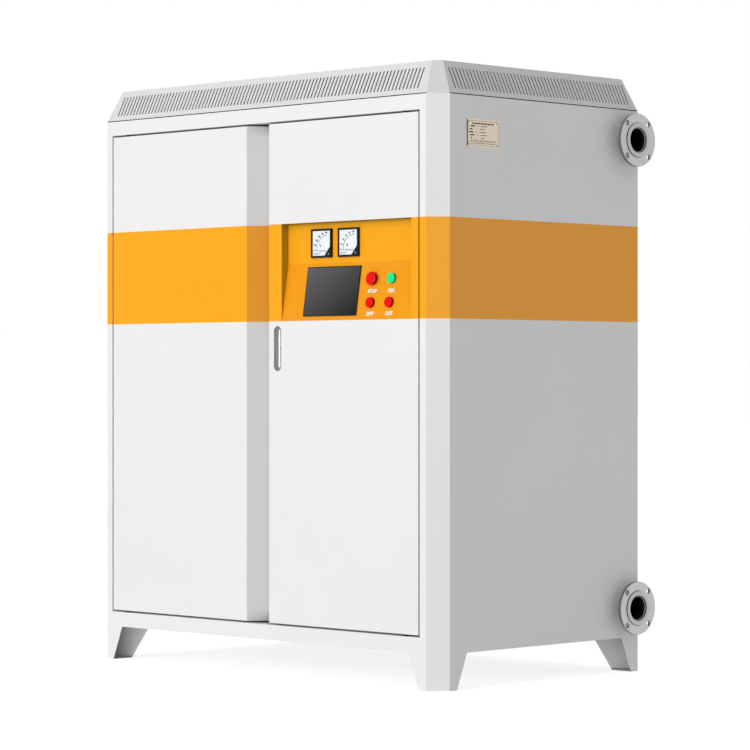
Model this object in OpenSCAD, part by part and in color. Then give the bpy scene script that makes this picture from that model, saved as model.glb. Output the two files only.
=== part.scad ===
// Floor-standing industrial boiler in a sheet-metal cabinet.
// X runs along the front, Y from the front to the back and Z up.
// The origin is on the floor under the middle of the cabinet.

/* [Cabinet] */
// Width of the cabinet
cab_w = 1500; // [1300:10:1800]
// Depth of the cabinet
cab_d = 925; // [760:5:1200]
// Height of the cabinet's top edge, under the hood
seam_z = 1700; // [1600:5:1900]
// Height of the legs
leg_h = 105; // [80:1:140]
// Chamfer of the upright corners, measured along each side
corner_c = 48; // [40:1:60]
// Thickness of the cabinet's sheet
sheet = 2; // [1.5:0.1:3]
// Width of the stiffening lip on the panels' edges
lip_w = 25; // [20:1:30]
// Width of the corner posts' lip behind each panel
post_lip = 40; // [30:1:50]
// Front face of a corner post beside its door
stile_w = 25; // [20:1:32]
// Depth of the corner posts' return behind the stile
stile_d = 45; // [36:1:56]
// Height of the rail over the doors
top_rail_h = 44; // [36:1:60]
// Height of the rail under the doors
bottom_rail_h = 46; // [36:1:60]
// Depth of the rails behind the doors' gap
rail_d = 58; // [52:1:70]
// Depth of the ledge that the lower rail gives the floor pan
ledge_d = 112; // [104:1:130]
// Depth of the compartment behind the doors, from the front face
bay_d = 300; // [250:5:340]

/* [Legs] */
// Thickness of the legs' sheet
leg_t = 3; // [2:0.5:5]
// Width of a leg's wings at the top
leg_top_w = 71.5; // [56:0.5:84]
// Width of a leg's wings at the floor
leg_foot_w = 29.5; // [20:0.5:40]
// Thickness of the foot plate
foot_t = 4; // [3:0.5:10]

/* [Hood] */
// Height of the hood
hood_h = 99; // [80:1:130]
// How far the hood's top stands in from the cabinet's faces
hood_in = 47; // [36:1:60]
// Chamfer of the hood's top corners, measured along each side
hood_c = 22; // [12:1:30]
// Open seam under the slotted panels
hood_seam = 3; // [2:0.5:5]
// Pitch of the ventilation slots
slot_pitch = 14.65; // [12:0.05:20]
// Width of a ventilation slot
slot_w = 5; // [3:0.5:7]
// Length of a ventilation slot, up the slope
slot_len = 70; // [50:1:76]
// Height of the slots' lower ends above the seam, up the slope
slot_low = 19; // [12:1:22]
// Least metal between the end slots and the panel's upper corner
slot_edge = 12; // [10:1:30]

/* [Doors] */
// Gap all round the doors
door_gap = 6; // [5.5:0.5:8]
// Half the mouth of the grip groove between the doors
grip_half = 49.5; // [46:0.5:60]
// Gap between the doors at the bottom of the groove
grip_gap = 8; // [7:0.5:12]
// How far the doors meet to the right of the middle
grip_lap = 5; // [3:0.5:7]
// Width of the doors' meeting edges, behind the groove
door_edge = 4.5; // [3:0.5:8]
// Width of the doors' inner lip
door_lip = 20; // [15:1:28]
// Distance of a hinge pin from its door's outer edge
hinge_in = 60; // [50:1:80]
// Distance of a hinge pin behind the front face
hinge_back = 10; // [9:0.5:12]
// Radius of a hinge pin
pin_r = 5; // [4:0.5:6]
// Length of a hinge pin inside the door
pin_len = 20; // [15:1:30]
// Radius of the shoulder at the root of a hinge pin
shoulder_r = 10; // [8:0.5:12]
// Height of the upper pins' shoulder
shoulder_h = 1; // [0.5:0.5:2]
// Running clearance of the hinge pins, at the radius
pin_clear = 0.05; // [0.03:0.01:0.1]
// Size of the hinge block in the door
hinge_block = 24; // [22:1:34]
// Height of a door stiffener
rib_h = 60; // [40:1:80]
// Depth of a door stiffener
rib_d = 28; // [20:1:40]
// How far the stiffeners end short of the grip groove
rib_short = 20; // [10:1:40]

/* [Control panel] */
// Distance of the control recess below the door's upper edge
tray_down = 301; // [240:1:400]
// Distance of the recess from the grip groove's edge
tray_in = 54; // [50:1:60]
// Width of the control recess
tray_w = 541; // [450:1:545]
// Depth of the recess at its upper wall
tray_d = 28; // [22:1:34]
// Width of the recess's flange behind the door skin
tray_lip = 12; // [8:1:16]
// Side of a square panel meter
meter_w = 85; // [76:1:88]
// How far a meter stands out of the wall
meter_out = 8; // [5:0.5:10]
// Width of a meter's frame
meter_rim = 4.5; // [3:0.5:7]
// Depth of the dial's floor under the meter's rim
meter_sink = 3; // [2:0.5:4]
// Thickness of a meter's dial
dial_t = 1; // [0.5:0.1:1.5]
// Side of a meter's body behind the wall
meter_body = 70; // [60:1:74]
// Depth of a meter's body behind the wall
meter_back = 32; // [20:1:40]
// Width of the cover in a meter's lower right corner
cover_w = 24; // [16:1:30]
// Height of the cover in a meter's lower right corner
cover_h = 28; // [16:1:34]
// Clearance between the two meters
meter_gap = 28; // [20:1:40]
// Clearance between the meters and the crease under them
meter_low = 16.5; // [10:0.5:30]
// Clearance between the meters and the recess's upper edge
meter_high = 18.5; // [10:0.5:30]
// How far the meters' middle stands left of the recess's middle
meter_off = 66; // [0:1:70]
// Width of the screen
screen_w = 223; // [180:1:230]
// Height of the screen
screen_h = 148; // [120:1:150]
// How far the screen stands out of the panel
screen_out = 3; // [2:0.5:5]
// Margin of the screen round its housing
screen_rim = 12; // [8:1:20]
// Depth of the screen's housing behind the panel
screen_back = 30; // [20:1:40]
// Clearance under the screen on the sloping panel
screen_low = 12; // [8:1:30]
// Clearance between the screen and the crease above it
screen_high = 11; // [8:1:30]
// How far the screen's middle stands left of the recess's middle
screen_off = 68.5; // [60:0.5:80]
// How far the buttons' middle stands right of the recess's middle
button_off = 136; // [120:1:150]
// Distance between the two columns of buttons
button_dx = 77; // [70:1:90]
// Height of the lower row of buttons up the panel
button_up = 49; // [42:1:52]
// Distance between the two rows of buttons
button_dy = 70; // [62:1:76]
// Radius of a push button's cap
cap_r = 15.5; // [11:0.5:17]
// How far a push button's cap stands out
cap_out = 9; // [8:0.5:12]
// Radius of the mushroom button's head
head_r = 20; // [18:0.5:24]
// Thickness of the mushroom button's head at its edge
head_t = 5.5; // [4:0.5:8]
// Rise of the mushroom button's head in its middle
head_rise = 1.5; // [1:0.5:4]
// Clearance under the mushroom button's head when it is pressed
head_clear = 5; // [5:0.5:8]
// Travel of the buttons
travel = 3; // [2:0.5:5]
// Width of the nut behind the panel that holds a collar
nut_w = 4; // [3:0.5:6]
// Thickness of that nut
nut_t = 5; // [3:0.5:6]
// Length of a collar's sleeve behind the panel's face
sleeve = 16; // [12:1:20]
// Wall of a collar's sleeve
sleeve_t = 2; // [1.5:0.5:2.5]
// Thickness of the disc that holds a button in
keeper_t = 3; // [2:0.5:4]
// Running clearance of a button in its collar, at the radius
cap_clear = 0.05; // [0.03:0.01:0.1]

/* [Cup pull] */
// Width of the cup pull over its rim
pull_w = 30; // [26:1:34]
// Height of the cup pull over its rim
pull_h = 134; // [110:1:150]
// Depth of the cup pull
pull_d = 17.5; // [12:0.5:24]
// Wall of the cup pull
pull_t = 1.5; // [1:0.1:2]
// Width of the cup pull's rim on the door
pull_rim = 2.5; // [2:0.5:4]
// Height of the rim above the door
pull_out = 1; // [0.5:0.1:1.5]
// Distance of the pull's middle from the grip groove's edge
pull_x = 37; // [30:1:38]
// Gap between the pull's upper end and the control recess
pull_gap = 15; // [12:1:60]

/* [Pipes] */
// Outer diameter of the pipes
pipe_d = 76; // [60:1:90]
// Wall of the pipes
pipe_t = 4; // [2:0.5:6]
// How far a flange's face stands out from the cabinet's side
pipe_out = 45; // [40:1:60]
// Length of the pipes inside the cabinet
pipe_in = 60; // [40:1:100]
// Outer diameter of the flanges
flange_d = 160; // [150:1:190]
// Thickness of the flanges, without the raised face
flange_t = 10; // [8:0.5:18]
// Diameter of the raised face
face_d = 104; // [98:1:108]
// Height of the raised face
face_h = 2; // [1:0.5:3]
// How far the pipe's end stands back in the flange
pipe_set = 6; // [4:0.5:8]
// Distance of the flange's bolt circle from its rim
bolt_in = 11; // [10:0.5:14]
// Diameter of the bolt holes
bolt_d = 18; // [12:0.5:19]
// Number of bolt holes
bolt_n = 4; // [4:4:8]
// Distance of the upper pipe below the cabinet's top edge
pipe_down = 92; // [90:1:300]
// Distance of the lower pipe above the cabinet's lower edge
pipe_up = 91; // [90:1:300]
// Distance of the pipes from the back
pipe_rear = 98; // [96:1:160]
// Gap round a pipe in the cabinet's side
pipe_gap = 2; // [1:0.5:4]
// Width of the collar that holds a pipe to the cabinet's side
stay_w = 7; // [5:0.5:12]
// Thickness of the collar
stay_t = 4; // [3:0.5:8]

/* [Rating plate] */
// Width of the plate
plate_w = 138; // [100:1:160]
// Height of the plate
plate_h = 80; // [60:1:100]
// Thickness of the plate
plate_t = 1; // [0.5:0.1:2]
// Distance of the plate behind the front face
plate_y = 117; // [100:1:160]
// Distance of the plate below the cabinet's top edge
plate_down = 67; // [50:1:100]

/* [Hidden] */
$fn = 64;

white = [0.93, 0.93, 0.92];
orange = [0.98, 0.66, 0.14];
steel = [0.72, 0.72, 0.72];
dark = [0.07, 0.07, 0.08];

hw = cab_w / 2;
hd = cab_d / 2;
front = -hd;
body_h = seam_z - leg_h;
over = 1;

// The doorway and the doors in it
way_x = hw - corner_c - stile_w;
way_bottom = leg_h + bottom_rail_h;
way_top = seam_z - top_rail_h;
door_x = way_x - door_gap;
door_z0 = way_bottom + door_gap;
door_z1 = way_top - door_gap;
meet_right = grip_gap / 2 + grip_lap;
meet_left = grip_gap / 2 - grip_lap;
door_t = grip_half - meet_left + door_edge;
hinge_x = door_x - hinge_in;
hinge_y = front + hinge_back;

// The control recess on the right door
tray_x = grip_half + tray_in;
tray_mid = tray_w / 2;
tray_top = door_z1 - tray_down;
crease_z = tray_top - meter_high - meter_w - meter_low;
tilt = asin((tray_d - sheet) / (screen_low + screen_h + screen_high));
tray_z = crease_z - (screen_low + screen_h + screen_high) * cos(tilt);
tray_h = tray_top - tray_z;
pull_z = tray_z - pull_gap - pull_h / 2;
skin_y = front + sheet;
wall_y = front + tray_d;
dial_z = meter_out - meter_sink;

// The hood's slope
slope_len = norm([hood_in, hood_h]);
slope_a = atan2(hood_in, hood_h);
wall_o = sheet / cos(slope_a);

pipe_y = hd - pipe_rear;
pipe_hi = seam_z - pipe_down;
pipe_lo = leg_h + pipe_up;
pipe_r = pipe_d / 2;
bolt_pcd = flange_d - 2 * bolt_in;

// Unit normal on the left of the line from a to b
function left_of(a, b) = [a.y - b.y, b.x - a.x] / norm(b - a);

// Points of a path moved to its left by t, with mitred corners
function beside(p, t) = [for (i = [0 : len(p) - 1])
    let (n = i > 0 ? left_of(p[i - 1], p[i]) : left_of(p[0], p[1]),
         m = i < len(p) - 1 ? left_of(p[i], p[i + 1]) : n)
    p[i] + t * (n + m) / (1 + n * m)];

// Section of a sheet folded along a path
function folded(p, t) = let (q = beside(p, t)) concat(p, [for (i = [len(q) - 1 : -1 : 0]) q[i]]);

// Corners of the cabinet's outline, set in by o, with corner chamfers c, from the front right
function outline(o, c) = let (x = hw - o, y = hd - o)
    [[x - c, -y], [x, c - y], [x, y - c], [x - c, y],
     [c - x, y], [-x, y - c], [-x, c - y], [c - x, -y]];

// Corners of the hood at share u of its height, o inside its outer face
function hood_ring(u, o) = [for (p = outline(o + u * hood_in,
    corner_c + u * (hood_c - corner_c) - o * (2 - sqrt(2)))) [p.x, p.y, seam_z + u * hood_h]];

// Plan of a door that stands right of the middle and meets the other one at x, set in by o
function door_plan(x, o) = let (k = o * (sqrt(2) - 1))
    [[grip_half + k, front + o], [door_x - o, front + o], [door_x - o, front + door_t - o],
     [x + o, front + door_t - o], [x + o, front + grip_half - x + k]];

module mirrored(on) {
    if (on) mirror([1, 0, 0]) children();
    else children();
}

// Extrudes a section drawn in Y and Z along X, from x0 to x1
module along_x(x0, x1) {
    translate([x0, 0, 0])
        rotate([90, 0, 90])
            linear_extrude(x1 - x0)
                children();
}

module front_post() {
    translate([0, 0, leg_h])
        linear_extrude(body_h)
            polygon(folded([[way_x, front + stile_d], [way_x, front], [hw - corner_c, front],
                [hw - sheet, front + corner_c - sheet],
                [hw - sheet, front + corner_c + post_lip]], sheet));
}

module rear_post() {
    translate([0, 0, leg_h])
        linear_extrude(body_h)
            polygon(folded([[hw - sheet, hd - corner_c - post_lip], [hw - sheet, hd - corner_c + sheet],
                [hw - corner_c + sheet, hd - sheet], [hw - corner_c - post_lip, hd - sheet]], sheet));
}

module post_front_left() { color(white) mirrored(true) front_post(); }

module post_front_right() { color(white) front_post(); }

module post_rear_left() { color(white) mirrored(true) rear_post(); }

module post_rear_right() {
    color(white)
        difference() {
            rear_post();
            pipe_holes();
        }
}

module top_rail() {
    color(white)
        along_x(-way_x, way_x)
            polygon(folded([[front + rail_d, seam_z], [front, seam_z],
                [front, way_top], [front + rail_d, way_top]], sheet));
}

module bottom_rail() {
    color(white)
        along_x(-way_x, way_x)
            polygon(folded([[front + rail_d, way_bottom], [front, way_bottom],
                [front, leg_h], [front + ledge_d, leg_h]], sheet));
}

// Side sheet with mitred upright edges and a lip at the top and the bottom
module side_sheet() {
    y0 = front + corner_c;
    y1 = hd - corner_c;
    translate([0, 0, leg_h])
        linear_extrude(body_h)
            polygon([[hw - sheet, y0 - sheet], [hw, y0], [hw, y1], [hw - sheet, y1 + sheet]]);
    for (z = [leg_h, seam_z - sheet])
        translate([hw - lip_w, y0 + post_lip + sheet, z])
            cube([lip_w - sheet / 2, y1 - y0 - 2 * (post_lip + sheet), sheet]);
}

module side_left() { color(white) mirrored(true) side_sheet(); }

module side_right() {
    color(white)
        difference() {
            side_sheet();
            pipe_holes();
        }
}

// Holes for the pipes through the right side and the post's lip behind it
module pipe_holes() {
    for (z = [pipe_hi, pipe_lo])
        translate([hw - lip_w, pipe_y, z])
            rotate([0, 90, 0])
                cylinder(h = lip_w + over, r = pipe_r + pipe_gap);
}

module back_panel() {
    x1 = hw - corner_c;
    color(white) {
        translate([0, 0, leg_h])
            linear_extrude(body_h)
                polygon([[x1, hd], [-x1, hd], [-x1 - sheet, hd - sheet], [x1 + sheet, hd - sheet]]);
        for (z = [leg_h, seam_z - sheet])
            translate([post_lip + sheet - x1, hd - lip_w, z])
                cube([2 * (x1 - post_lip - sheet), lip_w - sheet / 2, sheet]);
    }
}

// The floor pan lies on the rail's ledge and on the panels' lower lips, inside the posts
module floor_pan() {
    x1 = hw - 2 * sheet;
    y1 = hd - 2 * sheet;
    c = corner_c + (sqrt(2) - 4) * sheet;
    y0 = front + stile_d + sheet;
    color(steel)
        translate([0, 0, leg_h + sheet])
            linear_extrude(sheet)
                polygon([[x1, y0], [x1, y1 - c], [x1 - c, y1], [c - x1, y1], [-x1, y1 - c], [-x1, y0]]);
}

// Upright wall behind the doors, with its side edges folded back onto the side panels
module bulkhead() {
    color(steel)
        translate([0, 0, leg_h + 2 * sheet])
            linear_extrude(body_h - 3 * sheet)
                polygon(folded([[sheet - hw, front + bay_d + lip_w], [sheet - hw, front + bay_d],
                    [hw - sheet, front + bay_d], [hw - sheet, front + bay_d + lip_w]], sheet));
}

// Leg of the front right corner, folded with the corner's chamfer and tapered on both wings,
// with a web from the chamfer to the inner corner of the foot plate
module leg() {
    taper = leg_top_w - leg_foot_w;
    x0 = hw - corner_c - leg_top_w;
    y1 = front + corner_c + leg_top_w;
    difference() {
        linear_extrude(leg_h)
            polygon(folded([[x0, front], [hw - corner_c, front],
                [hw, front + corner_c], [hw, y1]], leg_t));
        translate([0, front + leg_t + over, 0])
            rotate([90, 0, 0])
                linear_extrude(leg_t + 2 * over)
                    polygon([[x0, leg_h], [x0 - over, leg_h], [x0 - over, -over],
                        [x0 + taper, -over], [x0 + taper, 0]]);
        along_x(hw - leg_t - over, hw + over)
            polygon([[y1, leg_h], [y1 + over, leg_h], [y1 + over, -over],
                [y1 - taper, -over], [y1 - taper, 0]]);
    }
    translate([hw, front, 0])
        rotate([90, 0, 135])
            linear_extrude(leg_t, center = true)
                polygon([[(corner_c + leg_t) / sqrt(2), 0], [(corner_c + leg_foot_w) * sqrt(2), 0],
                    [(corner_c + leg_top_w) * sqrt(2), leg_h], [(corner_c + leg_t) / sqrt(2), leg_h]]);
    linear_extrude(foot_t)
        polygon([[x0 + taper, front], [hw - corner_c, front],
            [hw, front + corner_c], [hw, y1 - taper], [x0 + taper, y1 - taper]]);
}

module leg_front_left() { color(white) mirror([1, 0, 0]) leg(); }

module leg_front_right() { color(white) leg(); }

module leg_rear_left() { color(white) mirror([1, 0, 0]) mirror([0, 1, 0]) leg(); }

module leg_rear_right() { color(white) mirror([0, 1, 0]) leg(); }

// Sloping panel k of the hood, from share u of its height to the underside of the top
module hood_panel(k, u) {
    v = 1 - sheet / hood_h;
    j = (k + 1) % 8;
    pts = [hood_ring(u, 0)[k], hood_ring(u, 0)[j], hood_ring(u, wall_o)[j], hood_ring(u, wall_o)[k],
        hood_ring(v, 0)[k], hood_ring(v, 0)[j], hood_ring(v, wall_o)[j], hood_ring(v, wall_o)[k]];
    polyhedron(pts, [[0, 1, 2, 3], [7, 6, 5, 4], [0, 4, 5, 1], [1, 5, 6, 2], [2, 6, 7, 3], [3, 7, 4, 0]]);
}

// Row of slots cut up a slope that stands at distance d from the middle and is 2 * half long at its top
module slots(d, half) {
    n = floor((half - slot_edge) / slot_pitch);
    straight = slot_len - slot_w;
    translate([0, -d, seam_z])
        rotate([90 - slope_a, 0, 0])
            translate([0, 0, -2 * sheet])
                linear_extrude(4 * sheet)
                    for (i = [-n : n])
                        translate([i * slot_pitch, slot_low + slot_w / 2]) {
                            translate([-slot_w / 2, 0])
                                square([slot_w, straight]);
                            for (y = [0, straight])
                                translate([0, y])
                                    circle(d = slot_w);
                        }
}

// Slotted panel on side k of the hood: 7 front, 1 right, 3 back, 5 left
module vent(k) {
    across = k % 4 == 3;
    d = across ? hd : hw;
    half = (across ? hw : hd) - hood_in - hood_c;
    color(white)
        difference() {
            hood_panel(k, hood_seam / hood_h);
            rotate([0, 0, (k + 1) * 45])
                slots(d, half);
        }
}

module vent_front() { vent(7); }

module vent_right() { vent(1); }

module vent_back() { vent(3); }

module vent_left() { vent(5); }

module hood_corner_front_right() { color(white) hood_panel(0, 0); }

module hood_corner_rear_right() { color(white) hood_panel(2, 0); }

module hood_corner_rear_left() { color(white) hood_panel(4, 0); }

module hood_corner_front_left() { color(white) hood_panel(6, 0); }

module hood_top() {
    color(white)
        translate([0, 0, seam_z + hood_h - sheet])
            linear_extrude(sheet)
                polygon(outline(hood_in, hood_c));
}

// Flanged pipe stub at height z, turned about its axis and drilled on the bolt circle
module pipe(z) {
    back = pipe_out - face_h - flange_t;
    color(steel)
        translate([hw, pipe_y, z])
            rotate([0, 90, 0])
                difference() {
                    rotate_extrude()
                        polygon([[pipe_r - pipe_t, -pipe_in], [pipe_r, -pipe_in], [pipe_r, 0],
                            [pipe_r + stay_w, 0], [pipe_r + stay_w, stay_t], [pipe_r, stay_t], [pipe_r, back],
                            [flange_d / 2, back], [flange_d / 2, pipe_out - face_h],
                            [face_d / 2, pipe_out - face_h], [face_d / 2, pipe_out],
                            [pipe_r, pipe_out], [pipe_r, pipe_out - pipe_set],
                            [pipe_r - pipe_t, pipe_out - pipe_set]]);
                    for (i = [0 : bolt_n - 1])
                        rotate([0, 0, (i + 0.5) * 360 / bolt_n])
                            translate([bolt_pcd / 2, 0, back - over])
                                cylinder(h = flange_t + 2 * over, d = bolt_d);
                }
}

module upper_pipe() { pipe(pipe_hi); }

module lower_pipe() { pipe(pipe_lo); }

module rating_plate() {
    color([0.84, 0.78, 0.70])
        translate([hw, front + plate_y, seam_z - plate_down - plate_h])
            cube([plate_t, plate_w, plate_h]);
}

// Shouldered pin that points up from a height z, or down from it when up is -1
module pin(z, up, shoulder) {
    translate([hinge_x, hinge_y, z])
        mirror([0, 0, up > 0 ? 0 : 1]) {
            cylinder(h = shoulder, r = shoulder_r);
            cylinder(h = door_gap + pin_len, r = pin_r);
        }
}

module door_pins() {
    color(steel)
        for (m = [false, true])
            mirrored(m) {
                pin(way_bottom, 1, door_gap);
                pin(way_top, -1, shoulder_h);
            }
}

// Pan of a door that meets the other one at x, with hinge blocks at its upper and lower corners
module door_pan(x) {
    difference() {
        union() {
            difference() {
                translate([0, 0, door_z0])
                    linear_extrude(door_z1 - door_z0)
                        polygon(door_plan(x, 0));
                translate([0, 0, door_z0 + sheet])
                    linear_extrude(door_z1 - door_z0 - 2 * sheet)
                        polygon(door_plan(x, sheet));
                translate([x + door_lip, front + door_t - 2 * sheet, door_z0 + door_lip])
                    cube([door_x - x - 2 * door_lip, 3 * sheet, door_z1 - door_z0 - 2 * door_lip]);
            }
            for (z = [door_z0, door_z1 - hinge_block])
                translate([hinge_x - hinge_block / 2, front + sheet / 2, z])
                    cube([hinge_block, hinge_block, hinge_block]);
        }
        for (z = [door_z0 - over, door_z1 - hinge_block - over])
            translate([hinge_x, hinge_y, z])
                cylinder(h = hinge_block + 2 * over, r = pin_r + pin_clear);
    }
}

// Channels across the right door's skin, midway below the cup pull and midway above the recess
module stiffeners() {
    for (z = [door_z0 + pull_z - pull_h / 2 - rib_h, tray_top + door_z1 - rib_h] / 2)
        along_x(grip_half + rib_short, door_x - sheet)
            polygon(folded([[skin_y, z], [skin_y + rib_d, z],
                [skin_y + rib_d, z + rib_h], [skin_y, z + rib_h]], sheet));
}

module left_door() { color(white) mirrored(true) door_pan(meet_left); }

module left_stiffeners() { color(steel) mirrored(true) stiffeners(); }

module right_door() {
    color(white)
        difference() {
            door_pan(meet_right);
            translate([tray_x, front - over, tray_z])
                cube([tray_w, sheet + 2 * over, tray_h]);
            at_pull()
                translate([0, 0, -sheet - over])
                    linear_extrude(sheet + 2 * over)
                        stadium(pull_rim);
        }
}

module right_stiffeners() { color(steel) stiffeners(); }

// Place on the sloping panel: x from the recess's edge, s up the panel, Z out of it
module on_slope(x, s) {
    translate([tray_x + x, skin_y, tray_z])
        rotate([90 - tilt, 0, 0])
            translate([0, s, 0])
                children();
}

// Place on the recess's upright wall, Z out of it
module on_wall(x, z) {
    translate([tray_x + x, wall_y, crease_z + z])
        rotate([90, 0, 0])
            children();
}

module at_meters() {
    for (i = [-0.5, 0.5])
        on_wall(tray_mid - meter_off + i * (meter_w + meter_gap), meter_low + meter_w / 2)
            children();
}

module at_screen() {
    on_slope(tray_mid - screen_off, screen_low + screen_h / 2)
        children();
}

// Button i, counted along the rows from the lower left
module at_button(i) {
    on_slope(tray_mid + button_off + (i % 2 - 0.5) * button_dx, button_up + floor(i / 2) * button_dy)
        children();
}

// Square block about the Z axis, from z0 to z1
module block(w, h, z0, z1) {
    translate([-w / 2, -h / 2, z0])
        cube([w, h, z1 - z0]);
}

// Recess of the control panel, with a flange behind the door skin and cut-outs for what it carries
module control_panel() {
    back = [[skin_y, tray_top], [wall_y, tray_top], [wall_y, crease_z], [skin_y, tray_z]];
    wall = beside(back, sheet);
    color(orange)
        difference() {
            union() {
                along_x(tray_x - sheet, tray_x + tray_w + sheet)
                    polygon(concat([[skin_y, tray_top + sheet]],
                        [[wall_y + sheet, tray_top + sheet], wall[2], [skin_y, wall[3].y]]));
                translate([tray_x - tray_lip, skin_y, tray_z - tray_lip])
                    cube([tray_w + 2 * tray_lip, sheet, tray_h + 2 * tray_lip]);
            }
            along_x(tray_x, tray_x + tray_w)
                polygon(concat([[skin_y - over, tray_top]], back, [[skin_y - over, tray_z]]));
            at_meters()
                block(meter_body, meter_body, -sheet - over, over);
            at_screen()
                block(screen_w - 2 * screen_rim, screen_h - 2 * screen_rim, -2 * sheet - over, over);
            for (i = [0 : 3])
                at_button(i)
                    translate([0, 0, -sleeve])
                        cylinder(h = sleeve + over, r = cap_r + cap_clear + sleeve_t);
        }
}

// Frames of the meters, with a slanting cover over the works in the lower right corner of each dial
module meter_frames() {
    c = meter_w / 2 - meter_rim;
    color(dark)
        at_meters() {
            difference() {
                union() {
                    block(meter_w, meter_w, 0, meter_out);
                    block(meter_body, meter_body, -meter_back, over);
                }
                block(2 * c, 2 * c, dial_z, meter_out + over);
            }
            translate([0, 0, dial_z + dial_t])
                linear_extrude(meter_out - dial_z - dial_t)
                    polygon([[c - cover_w, -c], [c - cover_w, -c - over], [c + over, -c - over],
                        [c + over, cover_h - c], [c, cover_h - c]]);
        }
}

module meter_dials() {
    side = meter_w - 2 * meter_rim;
    color("white")
        at_meters()
            block(side, side, dial_z, dial_z + dial_t);
}

module touch_screen() {
    color([0.2, 0.22, 0.24])
        at_screen() {
            block(screen_w, screen_h, 0, screen_out);
            block(screen_w - 2 * screen_rim, screen_h - 2 * screen_rim, -screen_back, screen_out / 2);
        }
}

// Collar that guides a button: a sleeve through the panel, flush with its face, with a nut behind it
module collar() {
    bore = cap_r + cap_clear;
    wall = bore + sleeve_t;
    rotate_extrude()
        polygon([[bore, -sleeve], [wall, -sleeve], [wall, -sheet - nut_t], [wall + nut_w, -sheet - nut_t],
            [wall + nut_w, -sheet], [wall, -sheet], [wall, 0], [bore, 0]]);
}

module button_collars() {
    color(steel)
        for (i = [0 : 3])
            at_button(i)
                collar();
}

// Button's stem with the disc behind the sleeve that keeps it in, up to a height z
module stem(z) {
    translate([0, 0, -sleeve - keeper_t])
        cylinder(h = keeper_t, r = cap_r + cap_clear + sleeve_t);
    translate([0, 0, -sleeve - over])
        cylinder(h = sleeve + over + z, r = cap_r);
}

module push_button(i) {
    at_button(i)
        stem(cap_out);
}

module mushroom_button() {
    under = head_clear + travel;
    dome_r = (head_r * head_r + head_rise * head_rise) / (2 * head_rise);
    color("red")
        at_button(2) {
            stem(under + over);
            translate([0, 0, under])
                cylinder(h = head_t, r = head_r);
            translate([0, 0, under + head_t])
                intersection() {
                    translate([0, 0, head_rise - dome_r])
                        sphere(r = dome_r);
                    cylinder(h = head_rise, r = head_r);
                }
        }
}

module green_button() { color("green") push_button(3); }

module red_button_left() { color("red") push_button(0); }

module red_button_right() { color("red") push_button(1); }

// Place of the cup pull on the door's face, Z out of it
module at_pull() {
    translate([grip_half + pull_x, front, pull_z])
        rotate([90, 0, 0])
            children();
}

// Outline of the cup pull, set in by o
module stadium(o) {
    straight = pull_h - pull_w;
    w = pull_w - 2 * o;
    translate([-w / 2, -straight / 2])
        square([w, straight]);
    for (s = [-1, 1])
        translate([0, s * straight / 2])
            circle(d = w);
}

module cup_pull() {
    color([0.55, 0.55, 0.55])
        at_pull()
            difference() {
                union() {
                    linear_extrude(pull_out)
                        stadium(0);
                    translate([0, 0, -pull_d - pull_t])
                        linear_extrude(pull_d + pull_t + pull_out)
                            stadium(pull_rim);
                }
                translate([0, 0, -pull_d])
                    linear_extrude(pull_d + pull_out + over)
                        stadium(pull_rim + pull_t);
            }
}

post_front_left();
post_front_right();
post_rear_left();
post_rear_right();
top_rail();
bottom_rail();
side_left();
side_right();
back_panel();
floor_pan();
bulkhead();
leg_front_left();
leg_front_right();
leg_rear_left();
leg_rear_right();
vent_front();
vent_right();
vent_back();
vent_left();
hood_corner_front_right();
hood_corner_rear_right();
hood_corner_rear_left();
hood_corner_front_left();
hood_top();
upper_pipe();
lower_pipe();
rating_plate();
door_pins();
left_door();
left_stiffeners();
right_door();
right_stiffeners();
control_panel();
meter_frames();
meter_dials();
touch_screen();
button_collars();
mushroom_button();
green_button();
red_button_left();
red_button_right();
cup_pull();
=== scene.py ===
"""Looks of a floor-standing industrial boiler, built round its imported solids.

Lengths are in metres. X runs along the front to the right, Y from the front to the back
and Z up, with the origin on the floor under the middle of the cabinet.
"""

import logging
import math
from dataclasses import dataclass
from enum import Enum
from typing import Any, ClassVar

import bmesh
import bpy
import numpy as np
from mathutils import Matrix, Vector


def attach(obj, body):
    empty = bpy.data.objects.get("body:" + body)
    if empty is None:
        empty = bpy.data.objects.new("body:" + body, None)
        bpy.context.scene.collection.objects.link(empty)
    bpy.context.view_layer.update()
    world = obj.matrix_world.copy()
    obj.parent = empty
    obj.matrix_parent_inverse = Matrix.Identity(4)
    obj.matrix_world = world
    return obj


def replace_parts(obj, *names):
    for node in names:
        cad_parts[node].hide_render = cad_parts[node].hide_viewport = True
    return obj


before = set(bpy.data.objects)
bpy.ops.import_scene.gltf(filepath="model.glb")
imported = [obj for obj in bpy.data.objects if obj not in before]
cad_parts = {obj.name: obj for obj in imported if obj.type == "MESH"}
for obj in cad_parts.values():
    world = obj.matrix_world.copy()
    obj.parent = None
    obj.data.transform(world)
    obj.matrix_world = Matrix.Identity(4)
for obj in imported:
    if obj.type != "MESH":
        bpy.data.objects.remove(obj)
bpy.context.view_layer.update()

LOG = logging.getLogger("boiler")

Array = np.ndarray
Colour = tuple[float, float, float]
Point = tuple[float, float, float]
Range = tuple[float, float]
Socket = bpy.types.NodeSocket

MM = 0.001
FULL_TURN = 2 * math.pi
RISING: Range = (0.0, 1.0)
FALLING: Range = (1.0, 0.0)
WAVE_RANGE: Range = (-1.0, 1.0)
NOISE_RANGE: Range = (0.3, 0.7)
EVEN: Point = (1.0, 1.0, 1.0)
DARK: Colour = (0.0, 0.0, 0.0)

# The control slope leans back 26 mm over its 171 mm.
SLOPE_TILT = math.asin(26 / 171)
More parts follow.
